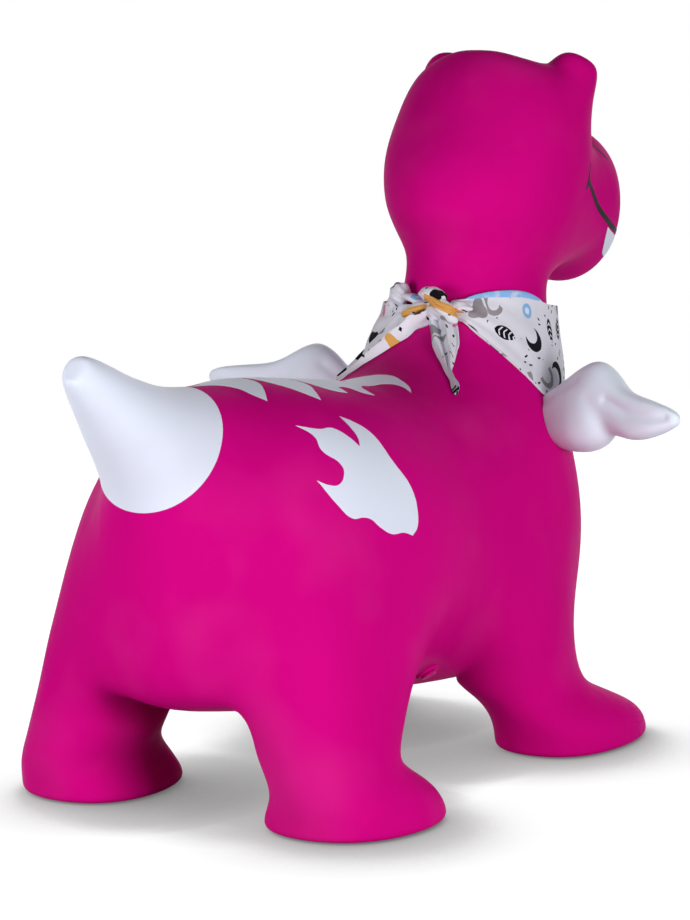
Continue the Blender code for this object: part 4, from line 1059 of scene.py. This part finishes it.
def skin_object():
    """The outer surface of the whole animal, with the faint unevenness of soft blown vinyl."""
    made = make_object("inflated_body", body_cage())
    modify(made, "MIRROR", merge_threshold=MERGE_DISTANCE)
    modify(made, "SUBSURF", levels=SKIN_LEVELS, render_levels=SKIN_LEVELS)
    modify(made, "TRIANGULATE", quad_method="FIXED")
    settle(made)
    points = read_points(made.data)
    turns = points / TORSO_LENGTH * tau
    waves = [np.sin(turns @ direction + start) for *direction, start in UNEVEN_WAVES]
    wave = waves[0] * waves[1] + waves[2] * waves[3]
    level = np.clip(points[:, 2] / FOOT_HEIGHT, 0, 1)
    push(made.data, wave * level * UNEVEN_HEIGHT / 2)
    return made


class Skin:
    """The finished skin's surface, on which the painted films and the cloth lie."""

    def __init__(self, made, paints):
        self.points = read_points(made.data)
        self.normals = read_points(made.data, "normal")
        faces = np.empty(len(made.data.polygons) * 3, int)
        made.data.polygons.foreach_get("vertices", faces)
        self.faces = faces.reshape(-1, 3)
        self.tree = BVHTree.FromObject(made, bpy.context.evaluated_depsgraph_get())
        self.paints = paints

    def draw(self, name, outline, near, far, frame, slot, nodes, lift=1):
        """Paint inside an outline in the frame's XY plane, from near to far along its Z axis."""
        self.film(name, outline_prism(outline, near, far, frame), slot, nodes, lift)

    def film(self, name, prism, slot, nodes, lift=1):
        """A thin coat of paint just off the skin, kept where it lies in the prism."""
        corners = read_points(prism.data)
        low, high = corners.min(0) - FILM_MARGIN, corners.max(0) + FILM_MARGIN
        inside = np.all((self.points > low) & (self.points < high), 1)
        used, index = np.unique(self.faces[inside[self.faces].any(1)], return_inverse=True)
        points = self.points[used] + self.normals[used] * FILM_GAP * lift
        mesh = bpy.data.meshes.new(name)
        mesh.from_pydata(points.tolist(), [], index.reshape(-1, 3).tolist())
        made = add_object(name, mesh)
        modify(made, "SOLIDIFY", thickness=FILM_THICKNESS, offset=1)
        boolean(made, prism, "INTERSECT")
        settle(made)
        bpy.data.objects.remove(prism)
        place_piece(made, self.paints[slot], "animal", nodes)

    def frame_at(self, shares, sign):
        """A frame on the face, Z out of the skin and Y up it; sign is 1 for the left, -1 for the right."""
        x, y, z = shares
        place, out = self.tree.find_nearest(head_place(sign * x, y, z))[:2]
        side = Z_AXIS.cross(out).normalized()
        return axes(side, out.cross(side), out, place)


def body_markings(skin):
    """White paint: the tail behind a tilted plane, the flames seen from above, the flank patches."""
    top, low = (torso_place(0, y, z) for y, z in TAIL_PAINT_SHARES)
    down = (low - top).normalized()
    back = X_AXIS.cross(down)
    mesh = bmesh.new()
    frame = axes(X_AXIS, back, -down, (top + low) / 2 + back * TORSO_WIDTH / 2)
    bmesh.ops.create_cube(mesh, size=TORSO_WIDTH, matrix=frame)
    skin.film("tail_cap_paint", make_object("block", mesh), "paint_white", ["tail_paint"])
    above = axes(X_AXIS, Y_AXIS, Z_AXIS)
    band = [share * SEAT_HEIGHT for share in CREST_BAND_SHARES]
    for label, shares in FLAME_SHARES.items():
        right = scaled(shares, -CREST_WIDTH, TORSO_LENGTH)
        left = [(-x, y, corner) for x, y, corner in reversed(right) if x]
        nodes = ["back_flame_" + label]
        skin.draw("crest_paint_" + label, right + left, *band, above, "paint_white", nodes)
    outline = scaled(PATCH_SHARES, PATCH_SIZE, PATCH_SIZE)
    x, y, z = torso_place(*PATCH_CENTRE_SHARES)
    for label, sign in SIDES:
        out, rise = rotated(X_AXIS * sign, Z_AXIS, PATCH_LEAN)
        frame = axes(Y_AXIS, rise, out, (sign * x, y, z))
        band, nodes = (-PATCH_REACH, PATCH_REACH), ["side_patch_" + label]
        skin.draw("flank_paint_" + label, outline, *band, frame, "paint_white", nodes)


def mouth_markings(skin):
    """The mouth line round the snout, and a tooth on each side."""
    side = axes(Y_AXIS, Z_AXIS, X_AXIS)
    wide, inner = HEAD_WIDTH, FACE_INNER_SHARE * HEAD_WIDTH
    _, *middle = head_place(0, *FACE_CENTRE_SHARES)
    mouth, tooth = (scaled(shares, FACE_SIZE, FACE_SIZE, *middle) for shares in (MOUTH_SHARES, TOOTH_SHARES))
    skin.draw("smile_line", mouth, -wide, wide, side, "paint_black", ["mouth_line"])
    for label, near, far in (("left", inner, wide), ("right", -wide, -inner)):
        skin.draw("fang_" + label, tooth, near, far, side, "paint_white", ["tooth_" + label], TOOTH_LIFT)


def oval(count, half_width, half_height, power=1):
    """Points round an oval; a power under 1 fills out its upper and lower ends."""
    points = []
    for step in range(count):
        turn = tau * step / count
        height = copysign(abs(sin(turn)) ** power, sin(turn))
        points.append((half_width * cos(turn), half_height * height))
    return points


def nostrils_and_eyes(skin):
    """On each side a nostril stroke, a white oval, a dark pupil and a small painted highlight on it."""
    for label, sign in SIDES:
        frame = skin.frame_at(NOSTRIL_CENTRE_SHARES, sign)
        outline = scaled(NOSTRIL_SHARES, -sign * FACE_SIZE, FACE_SIZE)
        name, nodes = "nostril_stroke_" + label, ["nostril_" + label]
        skin.draw(name, outline, -MARK_REACH, MARK_REACH, frame, "paint_black", nodes)
        frame = skin.frame_at(EYE_CENTRE_SHARES, sign)
        for part, colour, node, width, height, aside, up, lift in EYE_PARTS:
            outline = [(x + aside, y + up, 0) for x, y in oval(EYE_POINTS, width / 2, height / 2)]
            nodes = [node + label] if node else []
            skin.draw(part + label, outline, -MARK_REACH, MARK_REACH, frame, colour, nodes, lift)


def near_line(points, line):
    """Each flat point's distance from an open line of points."""
    best = np.full(len(points), np.inf)
    for start, end in zip(line, line[1:]):
        start, step = np.array(start), np.array(end) - np.array(start)
        part = np.clip((points - start) @ step / (step @ step), 0, 1)
        best = np.minimum(best, np.linalg.norm(points - start - part[:, None] * step, axis=1))
    return best


def wing_grips(body, finish):
    """Puffy grips with soft creases between their lobes."""
    for label, side in SIDES:
        made = make_object("wing_grip_" + label, wing_cage(*wing_axes(side)))
        modify(made, "SUBSURF", levels=WING_LEVELS, render_levels=WING_LEVELS)
        settle(made)
        root, out, up, across = map(np.array, wing_axes(side))
        flat = (read_points(made.data) - root) @ np.array([out, up]).T / WING_SPAN
        facing = np.abs(read_points(made.data, "normal") @ across)
        crease = 0
        for line, depth, width in WING_CREASE_SHARES:
            crease += depth * np.exp(-((near_line(flat, line) / width) ** 2))
        push(made.data, -crease * facing * WING_SPAN)
        boolean(made, body, "DIFFERENCE")
        settle(made)
        place_piece(made, finish, "animal", ["wing_handle_" + label])


def smooth_value(place, places, values):
    """A monotone cubic between tabled values."""
    last = len(places) - 2
    i = min(max(0, int(np.searchsorted(places, place, side="right")) - 1), last)
    slopes = [(values[j + 1] - values[j]) / (places[j + 1] - places[j]) for j in range(last + 1)]

    def tangent(j):
        before, after = slopes[max(j - 1, 0)], slopes[min(j, last)]
        return 0 if before * after <= 0 else 2 * before * after / (before + after)

    step = places[i + 1] - places[i]
    part = (place - places[i]) / step
    start, end = tangent(i) * step, tangent(i + 1) * step
    square, cube = part * part, part * part * part
    return (
        values[i] * (2 * cube - 3 * square + 1)
        + start * (cube - 2 * square + part)
        + values[i + 1] * (3 * square - 2 * cube)
        + end * (cube - square)
    )


def scarf_row(turn):
    """Top, bottom and lift of the scarf at this turn from the nape, smoothly between the rows."""
    turns, *columns = zip(*(SCARF_RIGHT_SHARES if turn <= 180 else SCARF_LEFT_SHARES))
    turn = max(min(turn, 360 - turn), turns[0])
    return [smooth_value(turn, turns, column) for column in columns]


def fold_height(turn, part):
    """How far folds lift the cloth: tight gathers near the knot, wide drapes further off."""
    angle = radians(turn)
    near = exp(-min(abs(turn - KNOT_TURN), 360 + KNOT_TURN - turn) / GATHER_REACH)
    count, sway = GATHERS
    gather = 1 + cos(tau * count * part + sway * sin(3 * angle))
    count, sway, start, slant = DRAPES
    drape = 1 + sin(tau * (count * part + sway * sin(2 * angle + start)) + slant * angle)
    edge, middle = DRAPE_FULLNESS
    fullness = edge + part * (1 - part) * middle
    return GATHER_SHARE * near * gather / 2 + DRAPE_SHARE * (1 - near) * drape / 2 * fullness


def cloth_grid(rows, flats):
    """A sheet of quads through rows of points, with its flat coordinates as UVs."""
    mesh = bmesh.new()
    layer = mesh.loops.layers.uv.new("UVMap")
    made = [add_row(mesh, row) for row in rows]
    for i in range(len(rows) - 1):
        for j in range(len(rows[0]) - 1):
            corners = ((i, j), (i, j + 1), (i + 1, j + 1), (i + 1, j))
            face = mesh.faces.new([made[a][b] for a, b in corners])
            for loop, (a, b) in zip(face.loops, corners):
                loop[layer].uv = flats[a][b]
    return mesh


def closed_cloth(name, rows, flats):
    """Cloth with a closed section: each row ends where it starts, and both ends are filled."""
    mesh = cloth_grid(rows, flats)
    bmesh.ops.remove_doubles(mesh, verts=mesh.verts, dist=CLOTH_MERGE_DISTANCE)
    bmesh.ops.holes_fill(mesh, edges=[edge for edge in mesh.edges if edge.is_boundary])
    return make_object(name, recalculate(mesh))


def scarf_wrap(tree):
    """Rows of the cloth round the neck, top edge first, and their flat coordinates."""
    rows, flats = [], []
    for i in range(SCARF_COLUMNS + 1):
        turn = SCARF_START + (SCARF_END - SCARF_START) * i / SCARF_COLUMNS
        top, low, lift = scarf_row(turn)
        row, flat = [], []
        for j in range(SCARF_ROWS + 1):
            part = j / SCARF_ROWS
            drop = (top + (low - top) * part) * SCARF_DROP
            off = lift * (1 - part * part) + fold_height(turn, part)
            row.append(on_neck(tree, turn, SCARF_TOP - drop, SCARF_STAND + off * SCARF_DROP))
            flat.append((radians(turn) * WRAP_RADIUS, drop))
        rows.append(row)
        flats.append(flat)
    return rows, flats


def neckerchief(tree, cotton, blue):
    rows, flats = scarf_wrap(tree)
    wrap = make_object("kerchief_wrap", cloth_grid(rows[::-1], flats[::-1]))
    modify(wrap, "SOLIDIFY", thickness=SCARF_THICKNESS, offset=0)
    settle(wrap)
    place_piece(wrap, cotton, "animal", ["scarf_wrap"])
    pieces = [top_fold(rows, blue), lower_roll(rows, cotton)]
    place = on_neck(tree, KNOT_TURN, SCARF_TOP - KNOT_DROP_SHARE * SCARF_DROP, KNOT_LIFT)
    pieces.append(knot(place, cotton))
    for label, table, phase in TAILS:
        pieces.append(loose_end(label, tree, table, place, phase, cotton))


def tube_along(name, path, sizes, section, flat_scale):
    """A closed bar: the section carried along a path at these sizes, with UVs along and around it."""
    rows, flats = [], []
    reach = 0
    for i, place in enumerate(path):
        ahead = (path[min(i + 1, len(path) - 1)] - path[max(i - 1, 0)]).normalized()
        up = (Z_AXIS - ahead * ahead.z).normalized()
        side = ahead.cross(up)
        if i:
            reach += (place - path[i - 1]).length
        rows.append([place + (side * x + up * z) * sizes[i] for x, z in section + section[:1]])
        flats.append([(reach, k * flat_scale) for k in range(len(section) + 1)])
    return closed_cloth(name, rows, flats)


def top_fold(rows, blue):
    """The blue hem that turns up over the top edge beside the knot, thickest in its middle."""
    step = (SCARF_END - SCARF_START) / SCARF_COLUMNS
    start, end = (round((turn - SCARF_START) / step) for turn in HEM_TURNS)
    section = oval(HEM_POINTS, HEM_DEPTH, HEM_HEIGHT / 2, HEM_FULLNESS)
    waves = [sin(pi * k / (end - start)) for k in range(end - start + 1)]
    sizes = [max(TAPER, wave) ** HEM_FULLNESS for wave in waves]
    lifts = [HEM_HEIGHT * (size - HEM_SINK) / 2 for size in sizes]
    path = [row[0] + Z_AXIS * lift for row, lift in zip(rows[start:], lifts)]
    made = tube_along("kerchief_top_fold", path, sizes, section, HEM_HEIGHT / HEM_POINTS)
    return place_piece(made, blue, "animal", ["scarf_hem"])


def lower_roll(rows, cotton):
    """The thin rolled seam along the lower edge, thinning out over its last points."""
    path = [row[-1] for row in rows]
    ends = [min(i, len(path) - 1 - i) / ROLL_ENDING for i in range(len(path))]
    sizes = [max(TAPER, sqrt(min(1, end))) for end in ends]
    section = oval(ROLL_POINTS, ROLL_RADIUS, ROLL_RADIUS)
    made = tube_along("kerchief_lower_roll", path, sizes, section, ROLL_RADIUS)
    return place_piece(made, cotton, "animal", [])


def knot(place, cotton):
    """The knot: cloth lobes grown together, with creases running across the band."""
    out, up = neck_direction(KNOT_TURN), Z_AXIS
    side = up.cross(out)
    mesh = bmesh.new()
    for along, off, high, wide, deep, tall, tilt in KNOT_LOBE_SHARES:
        first, last = rotated(side, up, tilt)
        middle = place + (side * along + out * off + up * high) * KNOT_SIZE
        frame = axes(first, out, last, middle)
        size = Matrix.Diagonal((wide * KNOT_SIZE, deep * KNOT_SIZE, tall * KNOT_SIZE, 1))
        bmesh.ops.create_icosphere(mesh, subdivisions=3, radius=1, matrix=frame @ size)
    made = make_object("kerchief_knot", mesh)
    modify(made, "REMESH", mode="VOXEL", voxel_size=KNOT_VOXEL_SHARE * KNOT_SIZE)
    modify(made, "SMOOTH", iterations=KNOT_SMOOTHING)
    settle(made)
    local = (read_points(made.data) - np.array(place)) @ np.array([side, out, up]).T / KNOT_SIZE
    x, y, z = local.T
    rise, slant, sway, pitch, fade = KNOT_CREASES
    wave = np.sin(rise * z + slant * x + sway * np.sin(pitch * x)) * np.sin(fade * x + 1)
    push(made.data, wave * KNOT_CREASE_SHARE * KNOT_SIZE)
    layer = made.data.uv_layers.new(name="UVMap")
    corners = np.empty(len(made.data.loops), int)
    made.data.loops.foreach_get("vertex_index", corners)
    flat = np.stack([x + KNOT_PRINT_LEAN * y, z - KNOT_PRINT_LEAN * y], 1)[corners] * KNOT_SIZE
    layer.data.foreach_set("uv", (flat + KNOT_PRINT_SHIFT).ravel())
    return place_piece(made, cotton, "animal", ["scarf_knot"])


def loose_end(label, tree, table, place, phase, cotton):
    """A gathered end of the cloth that lies on the skin and narrows to its tip."""
    centres = [place]
    for *away, _, depth in table[1:]:
        near, normal = tree.find_nearest(place + Vector(away) * SCARF_DROP)[:2]
        centres.append(near + normal * depth * SCARF_DROP / 2)
    marks = range(len(table))
    last = len(table) - 1

    def at_mark(at, columns):
        return [smooth_value(max(0, min(at, last)), marks, column) for column in columns]

    rows, flats = [], []
    reach = 0
    previous = place
    for i in range(TAIL_STATIONS + 1):
        at = last * i / TAIL_STATIONS
        behind, centre, ahead = (
            Vector(at_mark(at + step, list(zip(*centres)))) for step in (-TAIL_STEP, 0, TAIL_STEP)
        )
        wide, deep = (size * SCARF_DROP for size in at_mark(at, list(zip(*table))[3:]))
        normal = tree.find_nearest(centre)[1]
        across = (ahead - behind).cross(normal).normalized()
        settled = min(1, at / TAIL_SETTLING) ** 2
        reach += (centre - previous).length
        previous = centre
        row, flat = [], []
        for k in range(TAIL_POINTS + 1):
            turn = tau * k / TAIL_POINTS
            share = cos(turn)
            wave = cos(TAIL_PLEATS * pi * share + phase + at / 2)
            pleat = 1 - TAIL_PLEAT_DEPTH + TAIL_PLEAT_DEPTH * wave
            rise = deep * 2 * pleat * max(0, sin(turn)) ** TAIL_FULLNESS + SCARF_THICKNESS
            point = centre + across * wide * share
            base, up = tree.find_nearest(point)[:2]
            row.append((point + normal * (rise - deep)).lerp(base + up * rise, settled))
            side = 1 if sin(turn) >= 0 else -1
            flat.append((reach + phase * TAIL_PHASE_SHIFT, share * wide * side))
        rows.append(row)
        flats.append(flat)
    made = closed_cloth("kerchief_end_" + label, rows, flats)
    return place_piece(made, cotton, "animal", ["scarf_tail_" + label])


def turned(name, profile, closed, frame):
    """A profile of radius and height turned about the frame's Z axis."""
    mesh = bmesh.new()
    row = add_row(mesh, [(x, 0, z) for x, z in profile])
    for ends in zip(row, row[1:] + row[:1] if closed else row[1:]):
        mesh.edges.new(ends)
    made = make_object(name, mesh)
    modify(
        made, "SCREW", steps=ROUND_STEPS, render_steps=ROUND_STEPS,
        use_merge_vertices=True, merge_threshold=MERGE_DISTANCE,
    )
    settle(made)
    mesh = bmesh.new()
    mesh.from_mesh(made.data)
    recalculate(mesh).to_mesh(made.data)
    mesh.free()
    made.data.transform(frame)
    return made


def valve(body, tree, seat_finish, plug_finish):
    """The valve seat set in the belly, the plug in it and the hole behind them."""
    start = torso_place(*VALVE_PLACE_SHARES, 0)
    place, normal = tree.ray_cast(start, Z_AXIS)[:2]
    frame = Matrix.Translation(place) @ normal.to_track_quat("Z", "Y").to_matrix().to_4x4()
    wide, deep = VALVE_TUBE_RADIUS + CLEARANCE, -VALVE_TUBE_DEPTH - VALVE_OVERRUN
    profile = (0, VALVE_OVERRUN), (wide, VALVE_OVERRUN), (wide, deep), (0, deep)
    hole = turned("hole", profile, False, frame)
    boolean(body, hole, "DIFFERENCE")
    settle(body)
    bpy.data.objects.remove(hole)
    soft = PLUG_CHAMFER / 2
    bore, tube, rim, top = VALVE_BORE_RADIUS, VALVE_TUBE_RADIUS, VALVE_FLANGE_RADIUS, VALVE_FLANGE_LIFT
    profile = (
        (bore, -VALVE_TUBE_DEPTH), (tube, -VALVE_TUBE_DEPTH), (tube, -VALVE_FLANGE_BED / 2),
        (rim, -VALVE_FLANGE_BED / 3), (rim, top - 2 * soft), (rim - soft / 2, top - soft / 2),
        (rim - 2 * soft, top), (bore + soft, top), (bore, top - soft),
    )
    seat = turned("valve_collar", profile, True, frame)
    place_piece(seat, seat_finish, "animal", ["valve_seat"])
    stem, tip, rim = bore - CLEARANCE, -PLUG_STEM_DEPTH, PLUG_HEAD_RADIUS
    head = top + CLEARANCE
    crown = head + PLUG_HEAD_HEIGHT
    profile = (
        (0, crown - soft), (rim / 2, crown - soft), (rim / 2 + soft, crown), (rim - 2 * soft, crown),
        (rim - soft / 2, crown - soft / 2), (rim, crown - 2 * soft), (rim, head + soft),
        (rim - soft, head), (stem, head), (stem, tip + PLUG_CHAMFER), (stem - PLUG_CHAMFER, tip), (0, tip),
    )
    plug = turned("valve_stopper", profile, False, frame)
    place_piece(plug, plug_finish, "plug", ["valve_plug"])


def floor():
    """A pale floor that reads as plain white, with a painted soft shadow round the feet where ambient
    occlusion darkens its glow.
    """
    mesh = bmesh.new()
    bmesh.ops.create_circle(mesh, cap_ends=True, segments=96, radius=FLOOR_RADIUS)
    made = make_object("floor", mesh)
    material = bpy.data.materials.new("pale_floor")
    material.use_nodes = True
    nodes = Nodes(material.node_tree)
    nodes.tree.nodes.clear()
    tilt = nodes.new("CombineXYZ", *FLOOR_SHADE_TILT, 1).outputs[0]
    near = nodes.new("AmbientOcclusion", samples=16, Distance=FLOOR_SHADE_REACH, Normal=tilt)
    level = nodes.new("ValToRGB", near.outputs["AO"])
    for place, _ in FLOOR_SHADE_STEPS[1:-1]:
        level.color_ramp.elements.new(place)
    for stop, (place, value) in zip(level.color_ramp.elements, FLOOR_SHADE_STEPS):
        stop.position = place
        stop.color = (value, value, value, 1)
    seen, plain = (nodes.new("BsdfDiffuse", (*c, 1)).outputs[0] for c in (FLOOR_SEEN_COLOUR, FLOOR_COLOUR))
    # Painted shadow: the floor glows white, and darker near the animal.
    painted_shadow_glow = nodes.new("Emission", level.outputs[0]).outputs[0]
    both = nodes.new("AddShader", seen, painted_shadow_glow).outputs[0]
    mixed = nodes.new("MixShader", nodes.background_rays(), plain, both).outputs[0]
    nodes.new("OutputMaterial", mixed)
    made.data.materials.append(material)


def world():
    scene_world = bpy.data.worlds.new("studio")
    scene_world.use_nodes = True
    nodes = Nodes(scene_world.node_tree)
    back = nodes.tree.nodes["Background"].inputs
    back["Color"].default_value = (1, 1, 1, 1)
    nodes.fill(back["Strength"], nodes.background_rays() * (1 - AMBIENT) + AMBIENT)
    bpy.context.scene.world = scene_world


def softbox(name, azimuth, elevation, reach, size, power):
    """A square lamp facing the middle of the animal, which gloss does not show."""
    lamp = bpy.data.lights.new(name, "AREA")
    lamp.shape = "SQUARE"
    lamp.size = size
    lamp.energy = power
    made = add_object(name, lamp)
    made.visible_glossy = False
    level, _ = rotated(-Y_AXIS, X_AXIS, azimuth)
    back, _ = rotated(level, Z_AXIS, elevation)
    made.location = Z_AXIS * OVERALL_HEIGHT / 2 + back * reach
    made.rotation_euler = back.to_track_quat("Z", "Y").to_euler()


def camera():
    data = bpy.data.cameras.new("camera")
    data.lens = CAMERA_LENS
    data.sensor_width = SENSOR
    made = add_object("camera", data)
    made.location = CAMERA_PLACE
    made.rotation_euler = (radians(90 - CAMERA_PITCH), 0, radians(CAMERA_AZIMUTH))
    bpy.context.scene.camera = made


def main():
    bpy.context.scene.view_settings.view_transform = "Standard"
    camera()
    world()
    floor()
    for lamp in LAMPS:
        softbox(*lamp)
    skin_finish, wing_finish, plug_finish = (vinyl(*row) for row in VINYLS)
    paints = {slot: paint(*row) for slot, row in PAINTS.items()}
    cotton, blue = printed_cotton(), blue_cotton()
    body = skin_object()
    skin = Skin(body, paints)
    body_markings(skin)
    mouth_markings(skin)
    nostrils_and_eyes(skin)
    wing_grips(body, wing_finish)
    neckerchief(skin.tree, cotton, blue)
    valve(body, skin.tree, skin_finish, plug_finish)
    place_piece(body, skin_finish, "animal", ["body_skin"])


main()
